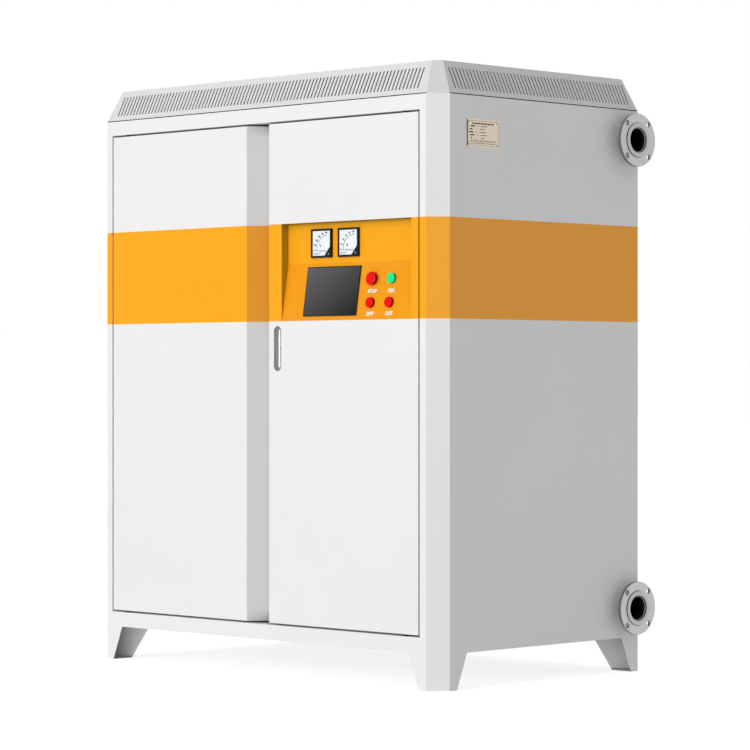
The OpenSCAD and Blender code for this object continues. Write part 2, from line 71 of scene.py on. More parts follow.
# Height of a capital letter as a share of the font's size.
CAPITAL_SHARE = 0.73
SHARP_ANGLE = math.radians(35)
MERGE_DISTANCE = 1e-6
SAME_POINT = 1e-7


class Side(Enum):
    """Left or right of the cabinet, as the sign of X."""

    LEFT = -1
    RIGHT = 1


class Body(Enum):
    """Rigid bodies that the pieces ride on."""

    CABINET = "cabinet"
    LEFT_DOOR = "left_door"
    RIGHT_DOOR = "right_door"
    MUSHROOM = "mushroom_button"
    GREEN = "green_button"
    RED_LEFT = "red_button_left"
    RED_RIGHT = "red_button_right"


class Slot(Enum):
    """Material slots of the record."""

    PANEL = "panel_paint"
    FLANGE = "flange_steel"
    PLATE = "plate_metal"
    PIN = "pin_steel"
    BLACK = "black_plastic"
    DIAL = "dial_white"
    SCREEN = "screen_glass"
    RED = "red_plastic"
    GREEN = "green_plastic"
    PULL = "pull_metal"


class Detail(Enum):
    """Octaves of a noise."""

    SMOOTH = 2.0
    CLOUDY = 3.0
    ROUGH = 4.0


@dataclass(frozen=True)
class Relief:
    """Fine relief of a finish: its share of effect and its height."""

    strength: float
    depth: float


def toned(colour: Colour, factor: float) -> Colour:
    """Colour times a factor."""
    return tuple(c * factor for c in colour)


class Tree:
    """Node tree of a material or the world, with short calls for its nodes."""

    def __init__(self, tree: bpy.types.NodeTree) -> None:
        """Takes a node tree."""
        self.tree = tree

    def add(self, kind: str, **settings: Any) -> bpy.types.Node:
        """Adds a node.

        Args:
            kind: Type of the node, without its prefix.
            **settings: Properties of the node.

        Returns:
            The node.
        """
        node = self.tree.nodes.new("ShaderNode" + kind)
        for key, value in settings.items():
            setattr(node, key, value)
        return node

    def feed(self, socket: Socket, value: Any) -> None:
        """Links a socket into an input, or sets the input to a plain value.

        Args:
            socket: The input.
            value: An output socket, a number or a colour.
        """
        if isinstance(value, bpy.types.NodeSocket):
            self.tree.links.new(value, socket)
        elif isinstance(value, tuple) and socket.type == "RGBA":
            socket.default_value = (*value, 1.0)
        else:
            socket.default_value = value

    def math(self, operation: str, a: Any, b: Any = 0.0) -> Socket:
        """Joins two numbers.

        Args:
            operation: Name of the operation.
            a: First number.
            b: Second number.

        Returns:
            The result's socket.
        """
        node = self.add("Math", operation=operation)
        self.feed(node.inputs[0], a)
        self.feed(node.inputs[1], b)
        return node.outputs[0]

    def plus(self, a: Any, b: Any) -> Socket:
        """Sum of two numbers."""
        return self.math("ADD", a, b)

    def minus(self, a: Any, b: Any) -> Socket:
        """First number less the second."""
        return self.math("SUBTRACT", a, b)

    def times(self, a: Any, b: Any) -> Socket:
        """Product of two numbers, or what two masks share."""
        return self.math("MULTIPLY", a, b)

    def either(self, a: Any, b: Any) -> Socket:
        """Greater one of two numbers, or two masks joined."""
        return self.math("MAXIMUM", a, b)

    def size(self, a: Any) -> Socket:
        """Number without its sign."""
        return self.math("ABSOLUTE", a)

    def over(self, a: Any, b: Any) -> Socket:
        """1 where the first number is greater than the second, 0 elsewhere."""
        return self.math("GREATER_THAN", a, b)

    def under(self, a: Any, b: Any) -> Socket:
        """1 where the first number is less than the second, 0 elsewhere."""
        return self.math("LESS_THAN", a, b)

    def within(self, a: Any, limits: Range) -> Socket:
        """1 where a number lies between two limits, 0 elsewhere."""
        return self.times(self.over(a, limits[0]), self.under(a, limits[1]))

    def near(self, a: Any, b: Any, reach: float) -> Socket:
        """1 where two numbers differ by less than a reach, 0 elsewhere."""
        return self.under(self.size(self.minus(a, b)), reach)

    def wave(self, a: Any, pitch: float) -> Socket:
        """Sine of a length, with one wave to each pitch."""
        return self.math("SINE", self.times(a, FULL_TURN / pitch))

    def span(self, value: Socket, source: Range, target: Range = RISING) -> Socket:
        """Maps a number from one range to another, clamped.

        Args:
            value: The number.
            source: Its range.
            target: Results at the ends of its range.

        Returns:
            The result's socket.
        """
        node = self.add("MapRange")
        for socket, v in zip(node.inputs, (value, *source, *target)):
            self.feed(socket, v)
        return node.outputs[0]

    def seen(self) -> Socket:
        """1 for rays from the camera and mirrored or refracted ones, 0 for light that fills.

        Returns:
            The number's socket.
        """
        rays = self.add("LightPath").outputs
        direct = self.either(rays["Is Camera Ray"], rays["Is Glossy Ray"])
        return self.either(direct, rays["Is Transmission Ray"])


class Graph(Tree):
    """Node tree of one material, with its shader and its coordinates."""

    def __init__(self, name: str) -> None:
        """Starts a material.

        Args:
            name: Name of the material.
        """
        self.material = bpy.data.materials.new(name)
        self.material.use_nodes = True
        super().__init__(self.material.node_tree)
        self.shader = self.tree.nodes["Principled BSDF"]
        coords = self.add("TexCoord")
        self.object = coords.outputs["Object"]
        self.normal = coords.outputs["Normal"]
        self.uv = coords.outputs["UV"]

    def shade(self, **inputs: Any) -> None:
        """Feeds the shader's inputs, named with _ for a space.

        Args:
            **inputs: Sockets, numbers or colours by input.
        """
        for key, value in inputs.items():
            self.feed(self.shader.inputs[key.replace("_", " ")], value)

    def split(self, vector: Socket) -> tuple[Socket, Socket, Socket]:
        """Splits a vector.

        Args:
            vector: The vector.

        Returns:
            Sockets of its three parts.
        """
        node = self.add("SeparateXYZ")
        self.feed(node.inputs[0], vector)
        return node.outputs[0], node.outputs[1], node.outputs[2]

    def place(self, centre: Point = (0.0, 0.0, 0.0), stretch: Point = EVEN) -> Socket:
        """Object coordinates about a centre.

        Args:
            centre: Point that becomes the origin.
            stretch: Scale along each axis.

        Returns:
            The coordinates' socket.
        """
        node = self.add("Mapping")
        self.feed(node.inputs["Vector"], self.object)
        node.inputs["Location"].default_value = tuple(-c * s for c, s in zip(centre, stretch))
        node.inputs["Scale"].default_value = stretch
        return node.outputs[0]

    def noise(self, vector: Socket, scale: float, detail: Detail = Detail.SMOOTH) -> Socket:
        """Cloudy noise.

        Args:
            vector: Coordinates.
            scale: Clouds per metre.
            detail: Octaves.

        Returns:
            Socket of a number from 0 to 1.
        """
        node = self.add("TexNoise")
        self.feed(node.inputs["Vector"], vector)
        self.feed(node.inputs["Scale"], scale)
        self.feed(node.inputs["Detail"], detail.value)
        return node.outputs[0]

    def cells(self, vector: Socket, scale: float) -> Socket:
        """One random tone for each crystal of a Voronoi pattern.

        Args:
            vector: Coordinates.
            scale: Crystals per metre.

        Returns:
            Socket of a number from 0 to 1.
        """
        node = self.add("TexVoronoi")
        self.feed(node.inputs["Vector"], vector)
        self.feed(node.inputs["Scale"], scale)
        return self.split(node.outputs["Color"])[0]

    def mix(self, share: Any, a: Any, b: Any) -> Socket:
        """Mixes two colours.

        Args:
            share: Share of the second one.
            a: First colour.
            b: Second colour.

        Returns:
            The mixed colour's socket.
        """
        node = self.add("Mix", data_type="RGBA")
        for i, value in ((0, share), (6, a), (7, b)):
            self.feed(node.inputs[i], value)
        return node.outputs[2]

    def mottle(self, share: Any, colour: Colour, dark: float) -> Socket:
        """Mixes a colour, at a share of 1, with its darker tone, at 0."""
        return self.mix(share, toned(colour, dark), colour)

    def gloss(self, pattern: Socket, rough: Range, source: Range = NOISE_RANGE) -> None:
        """Feeds the shader's roughness, spread over a pattern's usual range."""
        self.shade(Roughness=self.span(pattern, source, rough))

    def bump(self, height: Socket, relief: Relief) -> None:
        """Feeds the shader's normal from a height.

        Args:
            height: Height from 0 to 1.
            relief: Share of effect and height of 1 in metres.
        """
        node = self.add("Bump")
        self.feed(node.inputs["Strength"], relief.strength)
        self.feed(node.inputs["Distance"], relief.depth)
        self.feed(node.inputs["Height"], height)
        self.shade(Normal=node.outputs[0])


@dataclass(frozen=True)
class Finish:
    """A finish that makes its material once."""

    name: str
    made: ClassVar[dict[str, bpy.types.Material]] = {}

    def material(self) -> bpy.types.Material:
        """The finish's material, made on first use.

        Returns:
            The material.
        """
        if self.name not in self.made:
            graph = Graph(self.name)
            self.paint(graph)
            self.made[self.name] = graph.material
        return self.made[self.name]

    def paint(self, g: Graph) -> None:
        """Lays the nodes; each finish has its own."""
        raise NotImplementedError


@dataclass(frozen=True)
class Band:
    """Level band in a second colour on the cabinet's outer faces.

    It gets a paler painted sheen where they turn away from the front.
    """

    colour: Colour
    # Paler colour of the band's painted sheen, on faces turned from the front.
    turned: Colour
    low: float
    high: float
    skin_y: float
    front_ny: float = -0.2
    side_out: float = 0.1
    turn: Range = (0.5, 0.95)

    def mask(self, g: Graph) -> Socket:
        """1 on outer faces between the band's edges and 0 elsewhere.

        Args:
            g: Graph of the material.

        Returns:
            The mask's socket.
        """
        x, y, z = g.split(g.object)
        nx, ny, _ = g.split(g.normal)
        front = g.either(g.under(ny, self.front_ny), g.under(y, self.skin_y))
        side = g.over(g.times(nx, x), self.side_out)
        return g.times(g.within(z, (self.low, self.high)), g.either(front, side))

    def tone(self, g: Graph) -> Socket:
        """The band's colour, with a paler painted sheen the less a face looks to the front or the
        back.
        """
        front = g.size(g.split(g.normal)[1])
        return g.mix(g.span(front, self.turn), self.turned, self.colour)


@dataclass(frozen=True)
class PowderCoat(Finish):
    """Semi-gloss powder coat: slow tone drift, fine orange peel and patchy gloss."""

    colour: Colour
    band: Band | None = None
    drift: float = 2.3
    drift_tone: float = 0.975
    shine: float = 0.2
    patches: float = 40.0
    patch_range: Range = (0.25, 0.75)
    rough: Range = (0.47, 0.51)
    peel: float = 620.0
    relief: Relief = Relief(0.06, 0.0003)

    def paint(self, g: Graph) -> None:
        """Lays the nodes of the coat and of its band.

        Args:
            g: Graph of the material.
        """
        drift = g.span(g.noise(g.object, self.drift, Detail.CLOUDY), NOISE_RANGE)
        coat = g.mix(drift, self.colour, toned(self.colour, self.drift_tone))
        if self.band is not None:
            coat = g.mix(self.band.mask(g), coat, self.band.tone(g))
        g.shade(Base_Color=self.worked(g, coat), Specular_IOR_Level=self.shine)
        g.gloss(g.noise(g.object, self.patches, Detail.CLOUDY), self.rough, self.patch_range)
        g.bump(g.noise(g.object, self.peel), self.relief)

    def worked(self, g: Graph, coat: Socket) -> Socket:
        """The coat's colour as it is; kinds of coat paint shade on it in places."""
        return coat


@dataclass(frozen=True)
class GroovedCoat(PowderCoat):
    """Coat of the doors, with painted shade on the grip groove's bevels and most of all deep in its
    ends.
    """

    mouth: float = 0.056
    low: float = 0.157
    high: float = 1.650
    fade: float = 0.032
    bevel_nx: float = 0.5
    # Shares of painted shade on the bevels, and deepest in the groove's ends.
    grey: float = 0.2
    end_shade: float = 0.55

    def worked(self, g: Graph, coat: Socket) -> Socket:
        """Paints shade on the bevels: faces near the middle that look half sideways.

        The share of painted shade rises towards the groove's upper and lower end, in step with the
        depth.

        Args:
            g: Graph of the material.
            coat: The coat's colour.

        Returns:
            The changed colour's socket.
        """
        x, _, z = g.split(g.object)
        off = g.size(x)
        sideways = g.over(g.size(g.split(g.normal)[0]), self.bevel_nx)
        # Painted shade on the groove's bevels, deepest at the groove's ends.
        bevel = g.times(g.under(off, self.mouth), sideways)
        foot = g.span(z, (self.low, self.low + self.fade), FALLING)
        head = g.span(z, (self.high - self.fade, self.high))
        deep = g.span(off, (0.0, self.mouth), FALLING)
        ends = g.times(deep, g.either(foot, head))
        share = g.span(ends, RISING, (self.grey, self.end_shade))
        return g.mix(g.times(bevel, share), coat, DARK)


@dataclass(frozen=True)
class RecessCoat(PowderCoat):
    """Coat of the control recess, with painted shade on its side and upper walls and a little on
    its slope.
    """

    # Colours of painted shade: side and upper walls, slope, and the wall that looks down.
    thin: Colour = (0.46, 0.30, 0.012)
    slope: Colour = (0.93, 0.345, 0.001)
    shaded: Colour = (0.12, 0.08, 0.006)
    top: float = 1.3475
    shade_low: float = 1.325
    shade_top: float = 0.52
    slope_nz: float = 0.1
    wall_n: float = 0.7

    def worked(self, g: Graph, coat: Socket) -> Socket:
        """Paints light shade on the slope, which looks up, and darker painted shade on the other
        walls.

        These look sideways or down, and the back wall gets painted shade towards its upper edge.

        Args:
            g: Graph of the material.
            coat: The coat's colour.

        Returns:
            The changed colour's socket.
        """
        nx, _, nz = g.split(g.normal)
        z = g.split(g.object)[2]
        upper = g.span(z, (self.shade_low, self.top), (0.0, self.shade_top))
        # Painted shade by the faces' direction and near the back wall's upper edge.
        skin = g.mix(g.over(nz, self.slope_nz), coat, self.slope)
        skin = g.mix(upper, skin, self.thin)
        skin = g.mix(g.over(g.size(nx), self.wall_n), skin, self.thin)
        return g.mix(g.under(nz, -self.wall_n), skin, self.shaded)


@dataclass(frozen=True)
class LegCoat(PowderCoat):
    """Coat of the legs, with painted shade inside towards the corner and on the foot plate."""

    corner: Range = (0.750, 0.4625)
    deep: float = 0.045
    clear: float = 0.135
    # Share of painted shade inside the legs, strongest towards the corner.
    thin: float = 0.2
    foot: float = 0.0045
    foot_fade: float = 0.003
    foot_shade: float = 0.6
    inner_out: float = 0.3

    def worked(self, g: Graph, coat: Socket) -> Socket:
        """Paints shade on the inner faces by their distance from the cabinet's corner, on its
        diagonal.

        Args:
            g: Graph of the material.
            coat: The coat's colour.

        Returns:
            The changed colour's socket.
        """
        x, y, z = g.split(g.object)
        nx, ny, _ = g.split(g.normal)
        inner = g.under(g.plus(g.times(nx, x), g.times(ny, y)), self.inner_out)
        reach = g.plus(g.size(x), g.size(y))
        inset = g.math("DIVIDE", g.minus(sum(self.corner), reach), math.sqrt(2))
        thin = g.span(inset, (self.deep, self.clear), (self.thin, 0.0))
        foot = g.span(z, (self.foot, self.foot + self.foot_fade), (self.foot_shade, 0.0))
        return g.mix(g.times(inner, g.either(thin, foot)), coat, DARK)


@dataclass(frozen=True)
class ZincSheet(Finish):
    """Zinc-coated sheet: crystals of different tone and gloss over fine rolling marks."""

    colour: Colour
    crystals: float = 70.0
    dark: float = 0.88
    metal: float = 0.45
    rough: Range = (0.52, 0.66)
    marks: float = 900.0
    rolled: Point = (1.0, 1.0, 0.05)
    relief: Relief = Relief(0.08, 0.0002)

    def paint(self, g: Graph) -> None:
        """Lays the nodes of the crystals and the rolling marks.

        Args:
            g: Graph of the material.
        """
        spangle = g.cells(g.object, self.crystals)
        g.shade(Base_Color=g.mottle(spangle, self.colour, self.dark), Metallic=self.metal)
        g.gloss(spangle, self.rough, RISING)
        g.bump(g.noise(g.place(stretch=self.rolled), self.marks), self.relief)


@dataclass(frozen=True)
class TurnedSteel(Finish):
    """Turned steel about an axis along X.

    The sealing face has fine rings and a painted shadow line round it, the rim and the raised
    face's step are darkened with painted shade, and the bore has oxide in it, with near-black
    painted shade inside it.
    """

    colour: Colour
    oxide: Colour
    shade_black: Colour
    centre: Point
    bore_r: float
    step_r: float
    face_r: float
    rim_r: float
    pitch: float = 0.0043
    ring_share: float = 0.3
    clouds: float = 45.0
    dark: float = 0.92
    # Share of the steel's colour kept on the rim, as painted shade.
    rim_dark: float = 0.45
    edge: float = 0.003
    step_shade_nx: float = 0.5
    line: float = 0.0009
    shadow_line_share: float = 0.9
    shadow_line_fade: float = 0.03
    inner_out: float = 0.01
    metal: float = 0.9
    rough: Range = (0.38, 0.52)
    relief: Relief = Relief(0.35, 0.0002)

    def paint(self, g: Graph) -> None:
        """Lays the nodes by the distance from the axis.

        Args:
            g: Graph of the material.
        """
        _, y, z = g.split(g.place(self.centre))
        nx, ny, nz = g.split(g.normal)
        radius = g.math("SQRT", g.plus(g.times(y, y), g.times(z, z)))
        rings = g.span(g.wave(radius, self.pitch), WAVE_RANGE)
        sealing = g.times(rings, g.under(radius, self.face_r))
        cloud = g.noise(g.object, self.clouds, Detail.ROUGH)
        skin = g.mottle(cloud, self.colour, self.dark)
        skin = g.mix(g.times(sealing, self.ring_share), skin, self.oxide)
        # Painted shade on the rim.
        skin = g.mix(g.over(radius, self.rim_r), skin, toned(self.colour, self.rim_dark))
        # Painted shade on the raised face's upright step.
        upright = g.under(g.size(nx), self.step_shade_nx)
        skin = g.mix(g.times(upright, g.near(radius, self.face_r, self.edge)), skin, self.shade_black)
        # Painted shadow line round the sealing face, fading towards +Y.
        line = g.near(radius, self.face_r + self.line, self.line)
        fade = g.span(y, (0.0, self.shadow_line_fade), (self.shadow_line_share, 0.0))
        skin = g.mix(g.times(line, fade), skin, self.shade_black)
        inward = g.under(g.plus(g.times(y, ny), g.times(z, nz)), self.inner_out)
        skin = g.mix(g.times(g.under(radius, self.step_r), inward), skin, self.oxide)
        # Near-black painted shade inside the bore.
        inside = g.under(radius, self.bore_r)
        g.shade(Base_Color=g.mix(inside, skin, self.shade_black))
        g.shade(Metallic=g.span(inside, RISING, (self.metal, 0.0)))
        g.gloss(cloud, self.rough)
        g.bump(sealing, self.relief)


@dataclass(frozen=True)
class Mottled(Finish):
    """Finish whose tone, gloss and relief follow one noise, drawn out along a grain."""

    colour: Colour
    scale: float
    detail: Detail
    dark: float
    metal: float
    rough: Range
    grain: Point = EVEN
    shine: float = 0.5
    relief: Relief | None = None

    def paint(self, g: Graph) -> None:
        """Lays the nodes of the noise and what follows it.

        Args:
            g: Graph of the material.
        """
        cloud = g.noise(g.place(stretch=self.grain), self.scale, self.detail)
        g.shade(Base_Color=g.mottle(cloud, self.colour, self.dark))
        g.shade(Metallic=self.metal, Specular_IOR_Level=self.shine)
        g.gloss(cloud, self.rough)
        if self.relief is not None:
            g.bump(cloud, self.relief)


@dataclass(frozen=True)
class WeldMetal(Mottled):
    """Weld bead: mottled grey with a scaly surface."""

    scale: float = 320.0
    detail: Detail = Detail.ROUGH
    dark: float = 0.6
    metal: float = 0.8
    rough: Range = (0.4, 0.65)
    relief: Relief | None = Relief(0.3, 0.0004)


@dataclass(frozen=True)
class BrushedPlate(Mottled):
    """Thin tinted metal, brushed along its length."""

    scale: float = 1400.0
    detail: Detail = Detail.CLOUDY
    dark: float = 0.9
    metal: float = 0.85
    rough: Range = (0.34, 0.5)
    grain: Point = (1.0, 0.04, 1.0)
    relief: Relief | None = Relief(0.12, 0.0001)


@dataclass(frozen=True)
class PolishedMetal(Mottled):
    """Polished metal with a faintly uneven gloss."""

    scale: float = 60.0
    detail: Detail = Detail.SMOOTH
    dark: float = 0.97
    metal: float = 0.85
    rough: Range = (0.14, 0.2)


@dataclass(frozen=True)
class DialPaper(Mottled):
    """Dial of cool white board with a faint fibre."""

    scale: float = 500.0
    detail: Detail = Detail.ROUGH
    dark: float = 0.96
    metal: float = 0.0
    rough: Range = (0.5, 0.62)
    shine: float = 0.2
    relief: Relief | None = Relief(0.05, 0.0001)


@dataclass(frozen=True)
class Moulded(Finish):
    """Moulded plastic with a faint grain and uneven gloss."""

    colour: Colour
    roughness: float = 0.35
    shine: float = 0.15
    clouds: float = 90.0
    dark: float = 0.94
    smoother: float = 0.05
    rougher: float = 0.08
    grain: float = 1500.0
    relief: Relief = Relief(0.08, 0.0001)

    def paint(self, g: Graph) -> None:
        """Lays the nodes of the plastic.

        Args:
            g: Graph of the material.
        """
        cloud = g.noise(g.object, self.clouds, Detail.CLOUDY)
        skin = self.worked(g, g.mottle(cloud, self.colour, self.dark))
        g.shade(Base_Color=skin, Specular_IOR_Level=self.shine)
        g.gloss(cloud, (self.roughness - self.smoother, self.roughness + self.rougher))
        g.bump(g.noise(g.object, self.grain), self.relief)

    def worked(self, g: Graph, skin: Socket) -> Socket:
        """The plastic's colour as it is; kinds of moulding paint shade on it in places."""
        return skin


@dataclass(frozen=True)
class KeyPlastic(Moulded):
    """Plastic of the buttons: bright on the pressed face, with painted shade on the faces turning
    away round it.
    """

    skirt_shade: Colour = DARK
    tilt: float = SLOPE_TILT
    turn: Range = (0.2, 0.7)

    def worked(self, g: Graph, skin: Socket) -> Socket:
        """Paints shade on the faces that turn away from the buttons' axis, by the normal's share
        along it.

        Args:
            g: Graph of the material.
            skin: The plastic's colour.

        Returns:
            The changed colour's socket.
        """
        _, ny, nz = g.split(g.normal)
        up, back = g.times(nz, math.sin(self.tilt)), g.times(ny, math.cos(self.tilt))
        return g.mix(g.span(g.minus(up, back), self.turn, FALLING), skin, self.skirt_shade)


@dataclass(frozen=True)
class ScreenGlass(Finish):
    """Dark glass with a painted reflection that is paler at its upper left corner, and a black
    border printed behind it.
    """

    pale_reflection: Colour
    deep: Colour
    border: Colour
    rim_u: float
    rim_v: float
    diagonal: Range = (-0.9, 0.9)
    shine: float = 0.15
    smears: float = 25.0
    rough: Range = (0.16, 0.24)

    def paint(self, g: Graph) -> None:
        """Lays the nodes on the flat UV map.

        Args:
            g: Graph of the material.
        """
        u, v, _ = g.split(g.uv)
        in_u = g.within(u, (self.rim_u, 1 - self.rim_u))
        in_v = g.within(v, (self.rim_v, 1 - self.rim_v))
        # Painted reflection: paler at the upper left, fading to the deep colour.
        face = g.mix(g.span(g.minus(u, v), self.diagonal), self.pale_reflection, self.deep)
        g.shade(Base_Color=g.mix(g.times(in_u, in_v), self.border, face))
        g.shade(Specular_IOR_Level=self.shine)
        g.gloss(g.noise(g.object, self.smears, Detail.CLOUDY), self.rough)


@dataclass(frozen=True)
class CupMetal(Finish):
    """Satin coat of the cup pull: dark rim, paler walls and a white floor that is a painted
    highlight.
    """

    rim: Colour
    wall: Colour
    # Floor colour: white as a painted highlight.
    polished: Colour
    rim_y: float
    floor_y: float
    grain: Point = (1.0, 1.0, 0.05)
    strokes: float = 1500.0
    rim_dark: float = 0.92
    wall_dark: float = 0.94
    shine: float = 0.25
    rough: Range = (0.4, 0.5)
    floor_smooth: float = 0.2
    relief: Relief = Relief(0.05, 0.0001)

    def paint(self, g: Graph) -> None:
        """Lays the nodes by the depth behind the door's face.

        Args:
            g: Graph of the material.
        """
        y = g.split(g.object)[1]
        strokes = g.noise(g.place(stretch=self.grain), self.strokes, Detail.CLOUDY)
        floor = g.over(y, self.floor_y)
        rim = g.mottle(strokes, self.rim, self.rim_dark)
        wall = g.mottle(strokes, self.wall, self.wall_dark)
        skin = g.mix(g.over(y, self.rim_y), rim, wall)
        # The white floor stands in as a painted highlight.
        g.shade(Base_Color=g.mix(floor, skin, self.polished), Specular_IOR_Level=self.shine)
        satin = g.span(strokes, NOISE_RANGE, self.rough)
        g.shade(Roughness=g.minus(satin, g.times(floor, self.floor_smooth)))
        g.bump(strokes, self.relief)


@dataclass(frozen=True)
class WovenGauze(Finish):
    """Dark gauze that stands behind the hood's slots as painted shade: threads of two tones that
    cross on the height and on the length.
    """

    colour: Colour
    pitch: float = 0.0025
    dark: float = 0.5
    shine: float = 0.1
    rough: Range = (0.7, 0.85)
    relief: Relief = Relief(0.3, 0.0004)

    def paint(self, g: Graph) -> None:
        """Lays the nodes: the weave is the product of a wave along the hood and one up it.

        Args:
            g: Graph of the material.
        """
        x, y, z = g.split(g.object)
        crossed = g.times(g.wave(g.plus(x, y), self.pitch), g.wave(z, self.pitch))
        weave = g.span(crossed, WAVE_RANGE)
        g.shade(Base_Color=g.mottle(weave, self.colour, self.dark), Specular_IOR_Level=self.shine)
        g.gloss(weave, self.rough, RISING)
        g.bump(weave, self.relief)


WHITE = (0.865, 0.865, 0.865)
# The orange band's second colour is its painted sheen on faces turned from the front.
ORANGE = Band((0.98, 0.408, 0.002), (0.985, 0.43, 0.06), low=1.0595, high=1.3495, skin_y=-0.4612)
WHITE_COAT = PowderCoat("white_powder_coat", WHITE)
BANDED_COAT = PowderCoat("banded_powder_coat", WHITE, ORANGE)
# The doors' coat carries painted shade in the grip groove.
DOOR_COAT = GroovedCoat("door_powder_coat", WHITE, ORANGE)
# The front legs get stronger painted shade inside than the rear ones.
FRONT_LEG_COAT = LegCoat("front_leg_powder_coat", WHITE, clear=0.120, thin=0.62)
REAR_LEG_COAT = LegCoat("rear_leg_powder_coat", WHITE, thin=0.15)
# The hood's darker white is painted shade on its slopes and top.
HOOD_SHADED_COAT = PowderCoat("hood_shaded_powder_coat", toned(WHITE, 0.89))
RECESS_COAT = RecessCoat("recess_powder_coat", ORANGE.colour)
ZINC = ZincSheet("zinc_coated_sheet", (0.43, 0.44, 0.45))
BLACK_STEEL = BrushedPlate("blackened_pin_steel", (0.03, 0.03, 0.03), grain=(1.0, 1.0, 0.1))
PLATE = BrushedPlate("rating_plate_metal", (0.71, 0.61, 0.485))
RIVET = BrushedPlate("rivet_metal", (0.3, 0.27, 0.23), grain=EVEN)
SCREW = BrushedPlate("zinc_plated_screw", (0.32, 0.32, 0.32), grain=EVEN)
POLISHED = PolishedMetal("polished_cup_metal", (0.98, 0.98, 0.98))
WELD = WeldMetal("weld_metal", (0.4, 0.4, 0.4))
STEEL = (0.54, 0.54, 0.54)
OXIDE = (0.09, 0.09, 0.09)
# Near-black used as painted shade on the flanges' bore, step and line.
SHADE_BLACK = (0.003, 0.003, 0.003)
BLACK = Moulded("black_moulding", (0.008, 0.009, 0.011), roughness=0.42, shine=0.12)
# The buttons' second colours are painted shade on their sides.
RED = KeyPlastic("red_moulding", (0.93, 0.003, 0.004), roughness=0.3, shine=0.1,
                 skirt_shade=(0.24, 0.003, 0.004))
GREEN = KeyPlastic("green_moulding", (0.004, 0.92, 0.28), roughness=0.3, shine=0.12,
                   skirt_shade=(0.05, 0.42, 0.15))
DARK_INK = Moulded("dark_ink", (0.012, 0.012, 0.016), roughness=0.6, shine=0.1)
BROWN_INK = Moulded("brown_ink", (0.045, 0.034, 0.026), roughness=0.6, shine=0.1)
WHITE_INK = Moulded("white_ink", (0.95, 0.95, 0.95), roughness=0.55)
# The gauze is near-black painted shade behind the hood's slots.
SHADE_GAUZE = WovenGauze("shade_gauze", (0.045, 0.045, 0.045))
DIAL = DialPaper("dial_board", (0.90, 0.955, 1.0))
GLASS = ScreenGlass("screen_glass_print", pale_reflection=(0.105, 0.105, 0.107), deep=(0.004, 0.004, 0.005),
                    border=(0.012, 0.012, 0.013), rim_u=0.006, rim_v=0.009)
CUP = CupMetal("cup_pull_metal", rim=(0.21, 0.21, 0.21), wall=(0.46, 0.46, 0.46),
               polished=(0.97, 0.97, 0.97), rim_y=-0.4620, floor_y=-0.4465)


@dataclass(frozen=True)
class Place:
    """Local frame on a face: right and up lie in the face, and out stands on it."""

    origin: Point
    right: Point
    up: Point

    def axes(self) -> Array:
        """Unit axes right, up and out as the rows of a matrix."""
        return np.array([self.right, self.up, np.cross(self.right, self.up)], float)

    def to_part(self, local: Array) -> Array:
        """Local points in the part's frame: origin plus their parts along the axes."""
        return np.asarray(self.origin, float) + local @ self.axes()

    def to_local(self, points: Array) -> Array:
        """Points of the part's frame in local ones."""
        return (points - np.asarray(self.origin, float)) @ self.axes().T

    def moved(self, x: float, y: float, out: float = 0.0) -> "Place":
        """The same axes at a local point."""
        return Place(tuple(self.to_part(np.array([x, y, out]))), self.right, self.up)


@dataclass(frozen=True)
class Chart:
    """Flat UV map on a face: u and v are the local x and y over width and height, plus a half."""

    place: Place
    width: float
    height: float

    def lay(self, mesh: bpy.types.Mesh) -> None:
        """Lays the map on a mesh.

        Args:
            mesh: Mesh of the piece.
        """
        points = np.empty(len(mesh.vertices) * 3)
        mesh.vertices.foreach_get("co", points)
        corner = np.empty(len(mesh.loops), int)
        mesh.loops.foreach_get("vertex_index", corner)
        flat = self.place.to_local(points.reshape(-1, 3))[corner, :2]
        uv = flat / [self.width, self.height] + 0.5
        mesh.uv_layers.new(name="chart").data.foreach_set("uv", uv.ravel())


@dataclass(frozen=True)
class Lettering:
    """How words are printed: capital height, widening of strokes, thickness and letter spacing."""

    cap_height: float
    bold: float
    thickness: float
    spacing: float = 1.0


def lathe(profile: Array, turns: int) -> Array:
    """Surface of revolution (r cos t, r sin t, h) for each radius r and height h of a profile.

    Args:
        profile: Rows of r and h.
        turns: Steps of the angle t.

    Returns:
        Grid of points, profile by angle.
    """
    angle = np.linspace(0.0, FULL_TURN, turns, endpoint=False)
    r, h = profile[:, :1], np.repeat(profile[:, 1:], turns, 1)
    return np.stack([r * np.cos(angle), r * np.sin(angle), h], 2)


def moulding(path: Array, section: Array, closed: bool) -> Array:
    """Section carried along a flat path: p + a n, at height b, for section points (a, b).

    The normal n lies on the path's left, mitred at its corners.

    Args:
        path: Rows of x and y.
        section: Closed loop of rows of a, across the path, and b, above the plane.
        closed: Whether the path ends where it starts.

    Returns:
        Grid of points, path by section.
    """
    after = np.roll(path, -1, 0) - path
    before = np.roll(after, 1, 0)
    if not closed:
        after[-1] = before[-1]
        before[0] = after[0]
    unit = [d / np.linalg.norm(d, axis=1, keepdims=True) for d in (before, after)]
    n, m = (np.stack([-u[:, 1], u[:, 0]], 1) for u in unit)
    mitre = (n + m) / (1 + np.sum(n * m, 1, keepdims=True))
    flat = path[:, None] + mitre[:, None] * section[None, :, :1]
    level = np.broadcast_to(section[None, :, 1:], (*flat.shape[:2], 1))
    return np.concatenate([flat, level], 2)


def bar_section(width: float, levels: Range) -> Array:
    """Rectangle across a path, width wide, from the lower level to the upper one."""
    half, (low, high) = width / 2, levels
    return np.array([[-half, low], [half, low], [half, high], [-half, high]])


